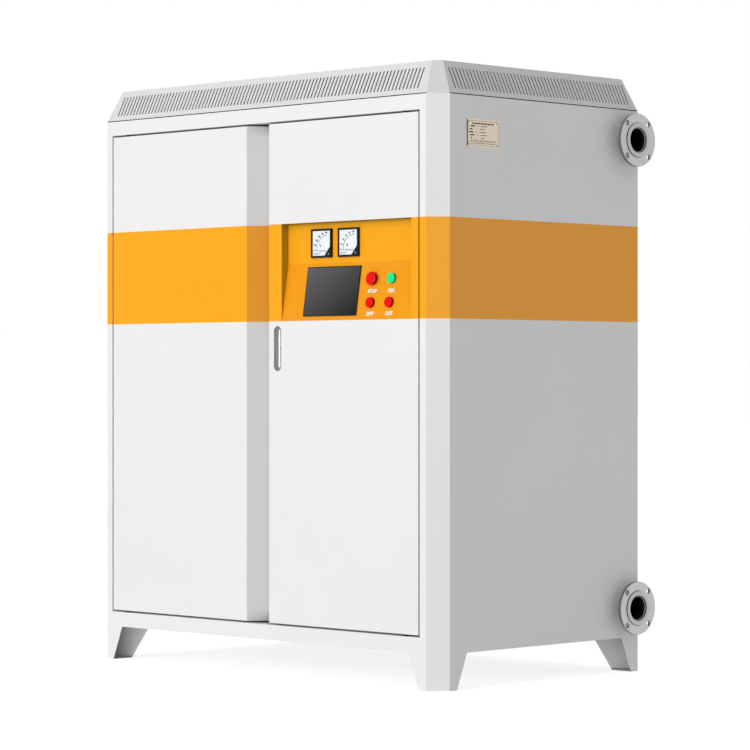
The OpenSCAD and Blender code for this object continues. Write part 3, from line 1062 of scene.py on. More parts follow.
def rounded_outline(width: float, height: float, radius: float, steps: int = 6) -> Array:
    """Closed outline of a rectangle whose corners are arcs: centre + radius (cos t, sin t).

    Where two arcs meet in one point, it is kept once.

    Args:
        width: Width.
        height: Height.
        radius: Radius of the corners.
        steps: Points on each corner.

    Returns:
        Rows of x and y, anticlockwise.
    """
    t = np.linspace(0.0, math.pi / 2, steps)[None] + np.arange(4)[:, None] * math.pi / 2
    sign = np.array([[1, 1], [-1, 1], [-1, -1], [1, -1]], float)
    centre = sign * (np.array([width, height]) / 2 - radius)
    path = (centre[:, None] + radius * np.stack([np.cos(t), np.sin(t)], 2)).reshape(-1, 2)
    apart = np.linalg.norm(np.roll(path, -1, 0) - path, axis=1) > SAME_POINT
    return path[apart]


def fillet(r: float, h: float, radius: float, start: float, stop: float, steps: int = 6) -> Array:
    """Arc of a profile: (r, h) + radius (cos t, sin t), t from start to stop in degrees."""
    t = np.radians(np.linspace(start, stop, steps))
    return np.stack([r + radius * np.cos(t), h + radius * np.sin(t)], 1)


class Shell:
    """Closed surfaces that make up one piece."""

    def __init__(self, name: str) -> None:
        """Starts an empty piece.

        Args:
            name: Name of the piece.
        """
        self.name = name
        self.points: list[Array] = []
        self.faces: list[list[int]] = []
        self.count = 0

    def add(self, points: Array, faces: list[list[int]]) -> None:
        """Adds points and the faces on them.

        Args:
            points: Rows of x, y and z in the part's frame.
            faces: Corners of each face, counted from the first of these points.
        """
        self.points.append(points)
        self.faces += [[i + self.count for i in f] for f in faces]
        self.count += len(points)

    def grid(
        self, surface: Array, place: Place, wrap_rows: bool = False, capped: bool = True
    ) -> None:
        """Adds a grid of points whose columns close on themselves.

        Args:
            surface: Grid of local points, rows by columns.
            place: Frame of the local points.
            wrap_rows: Whether the last row joins the first.
            capped: Whether the first and last row get a face of their own.
        """
        rows, cols = surface.shape[:2]
        index = np.arange(rows * cols).reshape(rows, cols)
        side = np.roll(index, -1, 1)
        below = np.roll(index, -1, 0)
        quads = np.stack([index, side, np.roll(side, -1, 0), below], 2)
        if not wrap_rows:
            quads = quads[:-1]
        faces = quads.reshape(-1, 4).tolist()
        if capped and not wrap_rows:
            faces += [index[0, ::-1].tolist(), index[-1].tolist()]
        self.add(place.to_part(surface.reshape(-1, 3)), faces)

    def bars(self, start: Array, end: Array, width: float, levels: Range, place: Place) -> None:
        """Adds flat bars: start + u (end - start) + v n, raised between two levels.

        Args:
            start: Rows of x and y, one for each bar.
            end: Rows of x and y.
            width: Range of v.
            levels: Heights of the underside and the upper face.
            place: Frame of the bars.
        """
        along = end - start
        n = np.stack([-along[:, 1], along[:, 0]], 1) / np.linalg.norm(along, axis=1, keepdims=True)
        half = n * width / 2
        corners = np.stack([start - half, end - half, end + half, start + half], 1)
        level = np.broadcast_to(np.array(levels)[None, :, None, None], (len(start), 2, 4, 1))
        points = np.concatenate([np.repeat(corners[:, None], 2, 1), level], 3).reshape(-1, 3)
        ends = [[3, 2, 1, 0], [4, 5, 6, 7]]
        sides = [[0, 1, 5, 4], [1, 2, 6, 5], [2, 3, 7, 6], [3, 0, 4, 7]]
        first = 8 * np.arange(len(start))[:, None, None]
        self.add(place.to_part(points), (np.array(ends + sides) + first).reshape(-1, 4).tolist())

    def word(self, text: str, style: Lettering, place: Place) -> None:
        """Adds a word as a raised print, centred on the frame's origin.

        Args:
            text: The word.
            style: How it is printed.
            place: Frame of the word.
        """
        curve = bpy.data.curves.new("word", "FONT")
        curve.body = text
        curve.size = style.cap_height / CAPITAL_SHARE
        curve.extrude = style.thickness / 2
        curve.offset = style.bold
        curve.space_character = style.spacing
        curve.resolution_u = 4
        curve.align_x = "CENTER"
        curve.align_y = "CENTER"
        holder = bpy.data.objects.new("word", curve)
        bpy.context.scene.collection.objects.link(holder)
        shown = holder.evaluated_get(bpy.context.evaluated_depsgraph_get())
        mesh = shown.to_mesh()
        local = np.empty(len(mesh.vertices) * 3)
        mesh.vertices.foreach_get("co", local)
        local = local.reshape(-1, 3) + [0.0, 0.0, style.thickness / 2]
        self.add(place.to_part(local), [list(p.vertices) for p in mesh.polygons])
        shown.to_mesh_clear()
        bpy.data.objects.remove(holder)
        bpy.data.curves.remove(curve)

    def build(
        self, finish: Finish, body: Body, slot: Slot, chart: Chart | None = None
    ) -> bpy.types.Object:
        """Makes the piece's object: seams merged, normals out, smooth up to sharp edges.

        Args:
            finish: Finish of the piece.
            body: Body that it rides on.
            slot: Material slot of the record; not used.
            chart: Flat UV map, where the finish reads one.

        Returns:
            The object.
        """
        mesh = bpy.data.meshes.new(self.name)
        mesh.from_pydata(np.concatenate(self.points).tolist(), [], self.faces)
        work = bmesh.new()
        work.from_mesh(mesh)
        bmesh.ops.remove_doubles(work, verts=work.verts, dist=MERGE_DISTANCE)
        bmesh.ops.recalc_face_normals(work, faces=work.faces)
        work.to_mesh(mesh)
        work.free()
        mesh.polygons.foreach_set("use_smooth", np.ones(len(mesh.polygons), bool))
        mesh.set_sharp_from_angle(angle=SHARP_ANGLE)
        if chart is not None:
            chart.lay(mesh)
        mesh.materials.append(finish.material())
        piece = bpy.data.objects.new(self.name, mesh)
        bpy.context.scene.collection.objects.link(piece)
        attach(piece, body.value)
        LOG.info("%s: %d faces on %s", self.name, len(mesh.polygons), body.value)
        return piece


def dress(finish: Finish, *nodes: str) -> None:
    """Gives CAD nodes their finish.

    Args:
        finish: The finish.
        *nodes: Names of the nodes.
    """
    for node in nodes:
        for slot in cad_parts[node].material_slots:
            slot.material = finish.material()
        LOG.info("%s: %s", node, finish.name)


@dataclass
class Cabinet:
    """Posts, rails, panels and legs, with the screws that hold the back panel."""

    half_w: float = 0.750
    half_d: float = 0.4625
    corner: float = 0.048
    screw_in: float = 0.020
    screw_low: float = 0.180
    screw_high: float = 1.625
    screws: int = 8
    screw_turns: int = 16

    def build(self) -> None:
        """Dresses the nodes and adds the screws."""
        dress(BANDED_COAT, "post_front_left", "post_front_right", "side_left", "side_right")
        dress(WHITE_COAT, "post_rear_left", "post_rear_right", "back_panel")
        dress(WHITE_COAT, "top_rail", "bottom_rail")
        dress(FRONT_LEG_COAT, "leg_front_left", "leg_front_right")
        dress(REAR_LEG_COAT, "leg_rear_left", "leg_rear_right")
        dress(ZINC, "floor_pan", "bulkhead")
        dress(BLACK_STEEL, "door_pins")
        self.back_screws()

    def back_screws(self) -> None:
        """Flat screws up both edges of the back panel, each a low dome with a sunk middle.

        Each is a profile in millimetres, turned about its axis, and its dome a flattened arc.
        """
        shell = Shell("back_screws")
        rim = [[0.0, -0.4], [6.0, -0.4], [6.0, 0.04]]
        dome = fillet(0.0, 0.04, 0.18, 5, 65) * [33.0, 1.0]
        middle = [[2.2, 0.2], [1.9, 0.06], [0.0, 0.06]]
        screw = lathe(np.concatenate([rim, dome, middle]) * MM, self.screw_turns)
        for side in Side:
            x = side.value * (self.half_w - self.corner - self.screw_in)
            for z in np.linspace(self.screw_low, self.screw_high, self.screws):
                place = Place((x, self.half_d, z), (-1, 0, 0), (0, 0, 1))
                shell.grid(screw, place, capped=False)
        shell.build(SCREW, Body.CABINET, Slot.PIN)


@dataclass
class Hood:
    """Slotted panels, corner facets and flat top, with dark gauze behind the slots as painted
    shade.
    """

    half_w: float = 0.750
    half_d: float = 0.4625
    corner: float = 0.048
    corner_top: float = 0.022
    base_z: float = 1.700
    rise: float = 0.099
    draw_in: float = 0.047
    behind: float = 0.005
    thickness: float = 0.001
    margin: float = 0.004
    ripple: float = 0.0006
    ripple_pitch: float = 0.008
    steps_up: int = 49
    steps_along: int = 9

    def build(self) -> None:
        """Dresses the nodes and sets the dark gauze behind them as painted shade."""
        dress(HOOD_SHADED_COAT, *(f"vent_{side}" for side in ("front", "right", "back", "left")))
        corners = ("front_right", "rear_right", "rear_left", "front_left")
        dress(HOOD_SHADED_COAT, *(f"hood_corner_{corner}" for corner in corners))
        dress(HOOD_SHADED_COAT, "hood_top")
        shell = Shell("hood_shade_gauze")
        slope = math.hypot(self.rise, self.draw_in)
        lean, stand = self.draw_in / slope, self.rise / slope
        for nx, ny in ((0, -1), (1, 0), (0, 1), (-1, 0)):
            half, far = (self.half_w, self.half_d) if ny else (self.half_d, self.half_w)
            foot = (nx * far, ny * far, self.base_z)
            place = Place(foot, (-ny, nx, 0), (-nx * lean, -ny * lean, stand))
            top = half - self.draw_in - self.corner_top
            shell.grid(self.gauze(half - self.corner, top, slope), place)
        shell.build(SHADE_GAUZE, Body.CABINET, Slot.BLACK)

    def gauze(self, half_low: float, half_high: float, slope: float) -> Array:
        """Rippled sheet behind one panel: (t h, s, -d - a cos 2 pi s / p), t from -1 to 1.

        The half length h falls from the panel's foot to its top, and a second face lies a
        thickness behind the first.

        Args:
            half_low: Half length of the panel at its foot.
            half_high: Half length of the panel at its top.
            slope: Length of the panel up its slope.

        Returns:
            Grid of points, length by section.
        """
        s = np.linspace(self.margin, slope - self.margin, self.steps_up)
        depth = -self.behind - self.ripple * np.cos(FULL_TURN * s / self.ripple_pitch)
        up = np.concatenate([s, s[::-1]])
        out = np.concatenate([depth - self.thickness, depth[::-1]])
        half = np.interp(up, [0.0, slope], [half_low, half_high]) - 2 * self.behind
        along = np.linspace(-1.0, 1.0, self.steps_along)[:, None] * half
        return np.stack([along, *(np.broadcast_to(row, along.shape) for row in (up, out))], 2)


@dataclass
class PipeStub:
    """One flanged pipe stub on the right side, with its weld beads."""

    name: str
    height: float
    side_x: float = 0.750
    pipe_y: float = 0.3645
    radius: float = 0.038
    bore_r: float = 0.0345
    step_r: float = 0.0385
    face_r: float = 0.0515
    rim_r: float = 0.0795
    flange_back: float = 0.033
    flange_weld: float = 0.0032
    collar_out: float = 0.004
    collar_weld: float = 0.0022
    end: float = 0.039
    end_weld: float = 0.0018
    ripple: float = 0.12
    ripples: int = 32
    turns: int = 96
    section: int = 10

    def build(self) -> None:
        """Dresses the stub and lays its welds."""
        centre = (self.side_x, self.pipe_y, self.height)
        radii = (self.bore_r, self.step_r, self.face_r, self.rim_r)
        turned = TurnedSteel(f"{self.name}_turned_steel", STEEL, OXIDE, SHADE_BLACK, centre, *radii)
        dress(turned, self.name)
        shell = Shell(f"{self.name}_welds")
        place = Place(centre, (0, 1, 0), (0, 0, 1))
        shell.grid(self.bead(self.flange_back, self.flange_weld), place, wrap_rows=True)
        shell.grid(self.bead(self.collar_out, self.collar_weld), place, wrap_rows=True)
        shell.grid(self.bead(self.end, self.end_weld), place, wrap_rows=True)
        shell.build(WELD, Body.CABINET, Slot.FLANGE)

    def bead(self, out: float, size: float) -> Array:
        """Weld bead: a ring of round section that swells with each ripple, size (1 + a cos n t).

        Args:
            out: Distance of the bead from the cabinet's side.
            size: Mean radius of the section.

        Returns:
            Grid of points, section by angle.
        """
        t = np.linspace(0.0, FULL_TURN, self.turns, endpoint=False)[None]
        s = np.linspace(0.0, FULL_TURN, self.section, endpoint=False)[:, None]
        swell = size * (1 + self.ripple * np.cos(self.ripples * t))
        ring = self.radius + swell * np.cos(s)
        return np.stack([ring * np.cos(t), ring * np.sin(t), out + swell * np.sin(s)], 2)


@dataclass(frozen=True)
class StrokeLine:
    """Level line of upright strokes with half heights tall (0.35 + 0.15 cos(wave i))."""

    y: float
    pitch: float
    width: float
    tall: float
    wave: float
    count: int = 22

    def ends(self) -> tuple[Array, Array]:
        """Lower and upper ends of the strokes.

        Returns:
            Rows of x and y of the lower ends, and of the upper ones.
        """
        step = np.arange(self.count)
        x = (step - (self.count - 1) / 2) * self.pitch
        reach = self.tall * (0.35 + 0.15 * np.cos(self.wave * step))
        return np.stack([x, self.y - reach], 1), np.stack([x, self.y + reach], 1)


@dataclass
class RatingPlate:
    """Plate on the right side: border, heading, rows of strokes, a dark edge and four rivets.

    Each column of strokes has its start, its end and its stroke width.
    """

    x: float = 0.751
    y: float = -0.2765
    z: float = 1.593
    width: float = 0.138
    height: float = 0.080
    ink: Range = (-0.0001, 0.0002)
    border_in: float = 0.005
    border_r: float = 0.003
    border_w: float = 0.0007
    rows: int = 5
    row_top: float = 0.0195
    row_pitch: float = 0.0085
    columns: tuple[Point, ...] = (
        (-0.056, -0.041, 0.0034),
        (-0.029, -0.023, 0.0012),
        (-0.012, 0.010, 0.0018),
    )
    lines: tuple[StrokeLine, ...] = (
        StrokeLine(0.0275, 0.0042, 0.0033, 0.0055, 1.9),
        StrokeLine(-0.0225, 0.0050, 0.0026, 0.0045, 2.3),
        StrokeLine(-0.0290, 0.0048, 0.0030, 0.0030, 2.9),
    )
    edge_in: float = 0.0018
    edge_end: float = 0.001
    edge_w: float = 0.0034
    rivet_in: float = 0.0085
    rivet_turns: int = 16

    def build(self) -> None:
        """Dresses the plate and adds its print and rivets."""
        dress(PLATE, "rating_plate")
        place = Place((self.x, self.y, self.z), (0, 1, 0), (0, 0, 1))
        self.print(place)
        self.rivets(place)

    def print(self, place: Place) -> None:
        """Border with rounded corners, columns of short strokes, a heading and two lines below.

        The strokes' lengths follow cosines of their row, and none of them is a letter.

        Args:
            place: Frame of the plate's face.
        """
        shell = Shell("rating_plate_print")
        inset = 2 * self.border_in
        outline = rounded_outline(self.width - inset, self.height - inset, self.border_r)
        border = moulding(outline, bar_section(self.border_w, self.ink), True)
        shell.grid(border, place, wrap_rows=True)
        row = np.arange(self.rows)
        y = self.row_top - self.row_pitch * row
        for left, right, stroke in self.columns:
            start = np.stack([left + 0.004 * np.cos(1.7 * row), y], 1)
            end = np.stack([right + 0.006 * np.cos(2.4 * row), y], 1)
            shell.bars(start, end, stroke, self.ink, place)
        for line in self.lines:
            shell.bars(*line.ends(), line.width, self.ink, place)
        foot = np.array([[self.edge_in - self.width / 2, self.edge_end - self.height / 2]])
        shell.bars(foot, foot * [1, -1], self.edge_w, self.ink, place)
        shell.build(BROWN_INK, Body.CABINET, Slot.PLATE)

    def rivets(self, place: Place) -> None:
        """Four domed rivets, each a flattened quarter arc in millimetres, turned about its axis.

        Args:
            place: Frame of the plate's face.
        """
        shell = Shell("rating_plate_rivets")
        arc = fillet(0.0, -0.3, 2.4, 0, 90, 7) * [1, 0.6]
        rivet = lathe(np.concatenate([[[0.0, -0.3]], arc]) * MM, self.rivet_turns)
        x, y = self.width / 2 - self.rivet_in, self.height / 2 - self.rivet_in
        for sx in (-1, 1):
            for sy in (-1, 1):
                shell.grid(rivet, place.moved(sx * x, sy * y), capped=False)
        shell.build(RIVET, Body.CABINET, Slot.PLATE)


@dataclass
class Doors:
    """Both doors with their stiffeners."""

    def build(self) -> None:
        """Dresses the nodes."""
        for side in Side:
            name = side.name.lower()
            dress(DOOR_COAT, f"{name}_door")
            dress(ZINC, f"{name}_stiffeners")


@dataclass
class Meter:
    """Square panel meter whose needle turns about its lower right corner."""

    name: str
    place: Place
    unit: str
    numbers: tuple[str, ...]
    face: float = 0.0060
    half: float = 0.0380
    corner_r: float = 0.0006
    lip: float = 0.0016
    lip_rise: float = 0.0018
    lip_sunk: float = 0.0002
    pivot: Range = (0.024, -0.024)
    radius: float = 0.046
    first: float = 176.0
    last: float = 94.0
    ink: float = 0.00015
    ink_sunk: float = 0.0001
    arc_steps: int = 41
    arc_w: float = 0.0012
    fine: int = 10
    fine_long: float = 0.0030
    fine_w: float = 0.0006
    coarse_long: float = 0.0052
    coarse_w: float = 0.0014
    number_out: float = 0.0092
    number_style: Lettering = Lettering(0.0050, 0.00025, 0.00015)
    unit_at: Range = (-0.004, -0.008)
    unit_style: Lettering = Lettering(0.0095, 0.00025, 0.00015)
    rule_x: float = -0.033
    rule_y: Range = (-0.0285, -0.0325)
    rule_long: Range = (0.030, 0.022)
    rule_w: float = 0.0010
    needle_from: float = 0.004
    needle_past: float = 0.002
    needle_half: Range = (0.0010, 0.0003)
    needle_thick: float = 0.0004
    needle_up: float = 0.0006
    needle_steps: int = 12
    adjuster_at: Point = (0.0322, -0.0322, 0.008)
    adjuster_turns: int = 24

    def spot(self, share: Array, radius: float) -> Array:
        """Points on the scale: pivot + radius (cos a, sin a), a from the first to the last angle.

        Args:
            share: Shares of the scale.
            radius: Distance from the pivot.

        Returns:
            Rows of x and y.
        """
        a = np.radians(self.first + share * (self.last - self.first))
        return np.array(self.pivot) + radius * np.stack([np.cos(a), np.sin(a)], 1)

    def build(self) -> None:
        """Adds the bezel's lip, the printed scale, the needle and the adjusting screw."""
        self.bezel()
        self.scale()
        self.needle()
        self.adjuster()

    def bezel(self) -> None:
        """Lip round the dial: a quarter-round section carried along the square opening."""
        shell = Shell(f"{self.name}_bezel")
        base = self.face - self.lip_sunk
        t = np.linspace(0.0, math.pi / 2, 6)
        arc = np.stack([self.lip * np.cos(t), base + self.lip_rise * np.sin(t)], 1)
        section = np.concatenate([[[0.0, base]], arc])
        outline = rounded_outline(2 * self.half, 2 * self.half, self.corner_r, 2)
        shell.grid(moulding(outline, section, True), self.place, wrap_rows=True)
        shell.build(BLACK, Body.RIGHT_DOOR, Slot.BLACK)

    def scale(self) -> None:
        """Arc with short and long strokes, numbers outside it, the unit and two ruled lines."""
        shell = Shell(f"{self.name}_scale")
        levels = (self.face - self.ink_sunk, self.face + self.ink)
        arc = self.spot(np.linspace(0.0, 1.0, self.arc_steps), self.radius)
        shell.grid(moulding(arc, bar_section(self.arc_w, levels), False), self.place)
        fine = np.linspace(0.0, 1.0, self.fine + 1)
        coarse = np.linspace(0.0, 1.0, len(self.numbers))
        strokes = (fine, self.fine_long, self.fine_w), (coarse, self.coarse_long, self.coarse_w)
        for share, long, width in strokes:
            ends = self.spot(share, self.radius), self.spot(share, self.radius + long)
            shell.bars(*ends, width, levels, self.place)
        for text, (x, y) in zip(self.numbers, self.spot(coarse, self.radius + self.number_out)):
            shell.word(text, self.number_style, self.place.moved(x, y, self.face))
        shell.word(self.unit, self.unit_style, self.place.moved(*self.unit_at, self.face))
        start = np.stack([np.full(2, self.rule_x), self.rule_y], 1)
        end = start + np.stack([self.rule_long, np.zeros(2)], 1)
        shell.bars(start, end, self.rule_w, levels, self.place)
        shell.build(DARK_INK, Body.RIGHT_DOOR, Slot.DIAL)

    def needle(self) -> None:
        """Needle at zero: a flat blade over the scale, path + v h n, whose half width h tapers."""
        shell = Shell(f"{self.name}_needle")
        radii = (self.needle_from, self.radius + self.needle_past)
        path = np.linspace(*(self.spot(np.zeros(1), r)[0] for r in radii), self.needle_steps)
        blade = moulding(path, bar_section(2.0, (0.0, self.needle_thick)), False)
        half = np.linspace(*self.needle_half, self.needle_steps)[:, None, None]
        blade[:, :, :2] = path[:, None] + (blade[:, :, :2] - path[:, None]) * half
        blade[:, :, 2] += self.face + self.needle_up
        shell.grid(blade, self.place)
        shell.build(DARK_INK, Body.RIGHT_DOOR, Slot.BLACK)

    def adjuster(self) -> None:
        """Zero-adjusting screw on the corner cover: a turned button with a sunk ring, in mm."""
        shell = Shell(f"{self.name}_adjuster")
        rim = [[0.0, -0.3], [2.6, -0.3], [2.6, 0.4], [2.3, 0.6]]
        ring = [[1.9, 0.3], [1.5, 0.3], [1.2, 0.5], [0.0, 0.5]]
        button = lathe(np.array(rim + ring) * MM, self.adjuster_turns)
        shell.grid(button, self.place.moved(*self.adjuster_at), capped=False)
        shell.build(SCREW, Body.RIGHT_DOOR, Slot.BLACK)


@dataclass
class Key:
    """One button of the control panel with the word under it."""

    body: Body
    finish: Finish
    slot: Slot
    place: Place
    word: str
    word_down: float
    word_style: Lettering = Lettering(0.0112, 0.0008, 0.0002, 1.14)
    radius: float = 0.0155
    out: float = 0.009
    sleeve: float = 0.016
    keeper: float = 0.003
    keeper_r: float = 0.01755
    round_r: float = 0.0010
    dish: float = 0.0003
    turns: int = 64

    def build(self) -> None:
        """Makes the cap that stands for the CAD node, and prints the word."""
        shell = Shell(f"{self.body.value}_cap")
        profile = np.concatenate([self.stem(), self.head()])
        shell.grid(lathe(profile, self.turns), self.place, capped=False)
        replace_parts(shell.build(self.finish, self.body, self.slot), self.body.value)
        label = Shell(f"{self.body.value}_word")
        label.word(self.word, self.word_style, self.place.moved(0.0, -self.word_down))
        label.build(WHITE_INK, Body.RIGHT_DOOR, Slot.PANEL)

    def stem(self) -> Array:
        """Profile of the stem: the disc behind the sleeve, then the guided shaft."""
        r, front, back = self.keeper_r, -self.sleeve, -self.sleeve - self.keeper
        return np.array([[0.0, back], [r, back], [r, front], [self.radius, front]])

    def head(self) -> Array:
        """Profile of a flush cap: rounded edge, then a dish that deepens with 1 - r squared.

        Returns:
            Rows of radius and height.
        """
        edge = fillet(self.radius - self.round_r, self.out - self.round_r, self.round_r, 0, 90)
        share = np.linspace(1.0, 0.0, 8)
        level = self.out - self.dish * (1 - share ** 2)
        dish = np.stack([share * (self.radius - 2 * self.round_r), level], 1)
        return np.concatenate([edge, dish])


@dataclass
class MushroomKey(Key):
    """Button with a broad domed head on its stem."""

    under: float = 0.008
    under_r: float = 0.0012
    head_r: float = 0.020
    rim_r: float = 0.0018
    edge: float = 0.0135
    top: float = 0.015
    dome_share: float = 0.88

    def head(self) -> Array:
        """Profile of the head: flat underside, rounded rim and a dome that falls with r squared.

        Returns:
            Rows of radius and height.
        """
        low = fillet(self.head_r - self.under_r, self.under + self.under_r, self.under_r, -90, 0)
        high = fillet(self.head_r - self.rim_r, self.edge - self.rim_r, self.rim_r, 0, 70)
        share = np.linspace(self.dome_share, 0.0, 10)
        level = self.top - (self.top - self.edge) * share ** 2
        dome = np.stack([share * self.head_r, level], 1)
        return np.concatenate([[[self.radius, self.under]], low, high, dome])


@dataclass
class ControlPanel:
    """Recess in the right door with its meters, screen and buttons."""

    middle: float = 0.374
    skin_y: float = -0.4605
    wall_y: float = -0.4345
    low_z: float = 1.060
    crease_z: float = 1.229
    tilt: float = SLOPE_TILT
    meter_off: float = -0.066
    meter_pitch: float = 0.113
    meter_up: float = 0.059
    meters: tuple[tuple[str, str, int], ...] = (("meter_left", "V", 500), ("meter_right", "A", 100))
    intervals: int = 5
    screen_off: float = -0.0685
    screen_up: float = 0.086
    screen_w: float = 0.220
    screen_h: float = 0.145
    screen_r: float = 0.004
    screen_out: float = 0.003
    key_off: float = 0.136
    key_dx: float = 0.077
    key_up: Range = (0.049, 0.119)
    upper_word: float = 0.036
    lower_word: float = 0.0325
    long_word: Lettering = Lettering(0.0098, 0.0008, 0.0002, 1.14)

    def build(self) -> None:
        """Dresses the nodes and adds what is printed or set on them."""
        dress(RECESS_COAT, "control_panel", "button_collars")
        dress(BLACK, "meter_frames", "touch_screen")
        dress(DIAL, "meter_dials")
        for i, (name, unit, full) in enumerate(self.meters):
            numbers = tuple(str(n) for n in range(0, full + 1, full // self.intervals))
            x = self.meter_off + (i - 0.5) * self.meter_pitch
            Meter(name, self.on_wall(x, self.meter_up), unit, numbers).build()
        self.screen()
        for key in self.keys():
            key.build()

    def on_wall(self, x: float, z: float) -> Place:
        """Frame on the upright wall, x from the recess's middle and z from the crease."""
        return Place((self.middle + x, self.wall_y, self.crease_z + z), (1, 0, 0), (0, 0, 1))

    def on_slope(self, x: float, s: float) -> Place:
        """Frame on the sloping panel: its lower edge, plus x from the middle and s up the slope.

        Args:
            x: Distance from the recess's middle.
            s: Distance up the panel.

        Returns:
            The frame.
        """
        sin, cos = math.sin(self.tilt), math.cos(self.tilt)
        origin = (self.middle + x, self.skin_y + s * sin, self.low_z + s * cos)
        return Place(origin, (1, 0, 0), (0, sin, cos))

    def screen(self) -> None:
        """Glass of the screen: outlines that shrink to the middle and rise to a faint crown."""
        place = self.on_slope(self.screen_off, self.screen_up)
        outline = rounded_outline(self.screen_w, self.screen_h, self.screen_r, 8)
        shrink = np.array([0.0, 1.0, 1.0, 0.996, 0.985, 0.8, 0.4, 0.0])
        rise = np.array([-0.3, -0.3, 0.3, 0.5, 0.55, 0.6, 0.62, 0.62]) * MM + self.screen_out
        flat = outline[None] * shrink[:, None, None]
        level = np.broadcast_to(rise[:, None, None], (*flat.shape[:2], 1))
        shell = Shell("screen_glass")
        shell.grid(np.concatenate([flat, level], 2), place, capped=False)
        chart = Chart(place, self.screen_w, self.screen_h)
        shell.build(GLASS, Body.RIGHT_DOOR, Slot.SCREEN, chart)

    def keys(self) -> list[Key]:
        """The four buttons, upper row first.

        Returns:
            The buttons.
        """
        low, high = self.key_up
        upper, lower = self.upper_word, self.lower_word
        left, right = self.key_off - self.key_dx / 2, self.key_off + self.key_dx / 2
        stop, on = self.on_slope(left, high), self.on_slope(right, high)
        off_left, off_right = self.on_slope(left, low), self.on_slope(right, low)
        return [
            MushroomKey(Body.MUSHROOM, RED, Slot.RED, stop, "STOP", upper, self.long_word),
            Key(Body.GREEN, GREEN, Slot.GREEN, on, "ON", upper),
            Key(Body.RED_LEFT, RED, Slot.RED, off_left, "OFF", lower),
            Key(Body.RED_RIGHT, RED, Slot.RED, off_right, "OFF", lower),
        ]


@dataclass
class CupPull:
    """Flush cup pull of the right door, with a rolled rim and a polished hollow round its floor."""

    x: float = 0.0865
    y: float = -0.4625
    z: float = 0.978
    width: float = 0.030
    height: float = 0.134
    rim: float = 0.004
    rise: float = 0.0012
    depth: float = 0.0175
    hollow: float = 0.0034
    sunk: float = 0.0002
    end_steps: int = 16

    def build(self) -> None:
        """Dresses the cup and adds the rim and the hollow."""
        dress(CUP, "cup_pull")
        self.rolled_rim()
        self.polished_hollow()

    def outline(self, inset: float) -> Array:
        """Outline with round ends, an inset inside the pull's edge."""
        width, height = self.width - 2 * inset, self.height - 2 * inset
        return rounded_outline(width, height, width / 2, self.end_steps)

    def polished_hollow(self) -> None:
        """Fillet between walls and floor: a hollow quarter arc along the inner outline."""
        shell = Shell("cup_pull_hollow")
        r, low = self.hollow, -self.sunk
        arc = fillet(r, r, r, 270, 180, 9)
        section = np.concatenate([[[low, low], [r, low]], arc, [[low, r]]])
        place = Place((self.x, self.y + self.depth, self.z), (1, 0, 0), (0, 0, 1))
        shell.grid(moulding(self.outline(self.rim), section, True), place, wrap_rows=True)
        shell.build(POLISHED, Body.RIGHT_DOOR, Slot.PULL)

    def rolled_rim(self) -> None:
        """Rim on the door: a half round carried along the middle of the pull's edge."""
        shell = Shell("cup_pull_rim")
        t = np.linspace(0.0, math.pi, 9)
        section = np.stack([self.rim / 2 * np.cos(t), self.rise * np.sin(t)], 1)
        place = Place((self.x, self.y, self.z), (1, 0, 0), (0, 0, 1))
        shell.grid(moulding(self.outline(self.rim / 2), section, True), place, wrap_rows=True)
        shell.build(CUP, Body.RIGHT_DOOR, Slot.PULL)


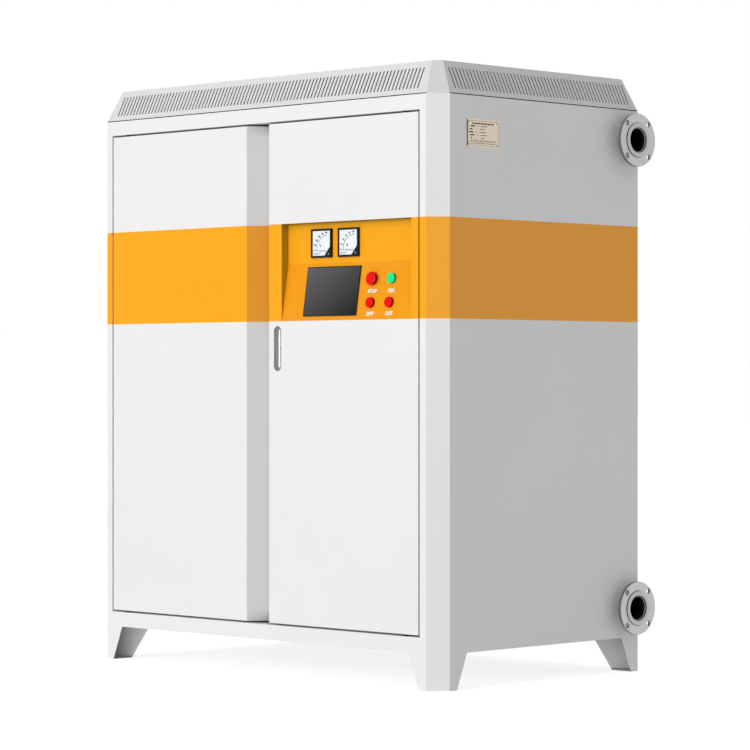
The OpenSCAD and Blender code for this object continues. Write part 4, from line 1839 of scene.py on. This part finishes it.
@dataclass
class Studio:
    """Camera, lights, white surroundings and the floor that takes the shadow."""

    eye: Point = (6.59695, -6.57938, 0.89647)
    turn: float = 0.783985
    lens: float = 143.47
    sensor: float = 36.0
    shift_up: float = 0.00118
    clip_end: float = 200.0
    key_from: Point = (-0.03, -0.99, 0.07)
    key_strength: float = 2.10
    key_spread: float = 30.0
    fill: float = 0.465
    floor_colour: Colour = (0.8, 0.8, 0.8)
    floor_light: float = 0.16
    floor_glow: float = 0.68
    floor_half: float = 40.0

    def build(self) -> None:
        """Sets up the scene round the object."""
        bpy.context.scene.view_settings.view_transform = "Standard"
        self.camera()
        self.key()
        self.surroundings()
        self.floor()

    def camera(self) -> None:
        """Level camera at the photograph's place, with a long lens."""
        data = bpy.data.cameras.new("camera")
        data.lens = self.lens
        data.sensor_width = self.sensor
        data.shift_y = self.shift_up
        data.clip_end = self.clip_end
        holder = bpy.data.objects.new("camera", data)
        holder.location = self.eye
        holder.rotation_euler = (math.pi / 2, 0.0, self.turn)
        bpy.context.scene.collection.objects.link(holder)
        bpy.context.scene.camera = holder

    def key(self) -> None:
        """Broad soft light from the front."""
        data = bpy.data.lights.new("key", "SUN")
        data.energy = self.key_strength
        data.angle = math.radians(self.key_spread)
        holder = bpy.data.objects.new("key", data)
        holder.rotation_euler = (-Vector(self.key_from)).to_track_quat("-Z", "Y").to_euler()
        bpy.context.scene.collection.objects.link(holder)

    def surroundings(self) -> None:
        """World that looks white and fills the scene with a plain even light."""
        world = bpy.data.worlds.new("surroundings")
        world.use_nodes = True
        tree = Tree(world.node_tree)
        sky = world.node_tree.nodes["Background"].inputs
        tree.feed(sky["Color"], (1.0, 1.0, 1.0))
        tree.feed(sky["Strength"], tree.span(tree.seen(), RISING, (self.fill, 1.0)))
        bpy.context.scene.world = world

    def floor(self) -> None:
        """Pale floor that shows white round the object and keeps its shadow."""
        half = self.floor_half
        corners = [(-half, -half, 0), (half, -half, 0), (half, half, 0), (-half, half, 0)]
        mesh = bpy.data.meshes.new("floor")
        mesh.from_pydata(corners, [], [(0, 1, 2, 3)])
        mesh.materials.append(self.floor_material())
        plane = bpy.data.objects.new("floor", mesh)
        bpy.context.scene.collection.objects.link(plane)

    def floor_material(self) -> bpy.types.Material:
        """Matt surface with a glow, stronger where it is seen than where it lights the object.

        Returns:
            The material.
        """
        material = bpy.data.materials.new("pale_floor")
        material.use_nodes = True
        nodes = material.node_tree.nodes
        nodes.remove(nodes["Principled BSDF"])
        tree = Tree(material.node_tree)
        matt, glow, both = (tree.add(kind) for kind in ("BsdfDiffuse", "Emission", "AddShader"))
        tree.feed(matt.inputs["Color"], self.floor_colour)
        level = tree.span(tree.seen(), RISING, (self.floor_light, self.floor_glow))
        tree.feed(glow.inputs["Strength"], level)
        tree.feed(both.inputs[0], matt.outputs[0])
        tree.feed(both.inputs[1], glow.outputs[0])
        tree.feed(nodes["Material Output"].inputs["Surface"], both.outputs[0])
        return material


def main() -> None:
    """Builds the sub-assemblies in order."""
    logging.basicConfig(level=logging.INFO, format="%(name)s: %(message)s")
    parts = (
        Studio(),
        Cabinet(),
        Hood(),
        PipeStub("upper_pipe", 1.608),
        PipeStub("lower_pipe", 0.196),
        RatingPlate(),
        Doors(),
        ControlPanel(),
        CupPull(),
    )
    for part in parts:
        LOG.info("building %s", type(part).__name__)
        part.build()


if __name__ == "__main__":
    main()
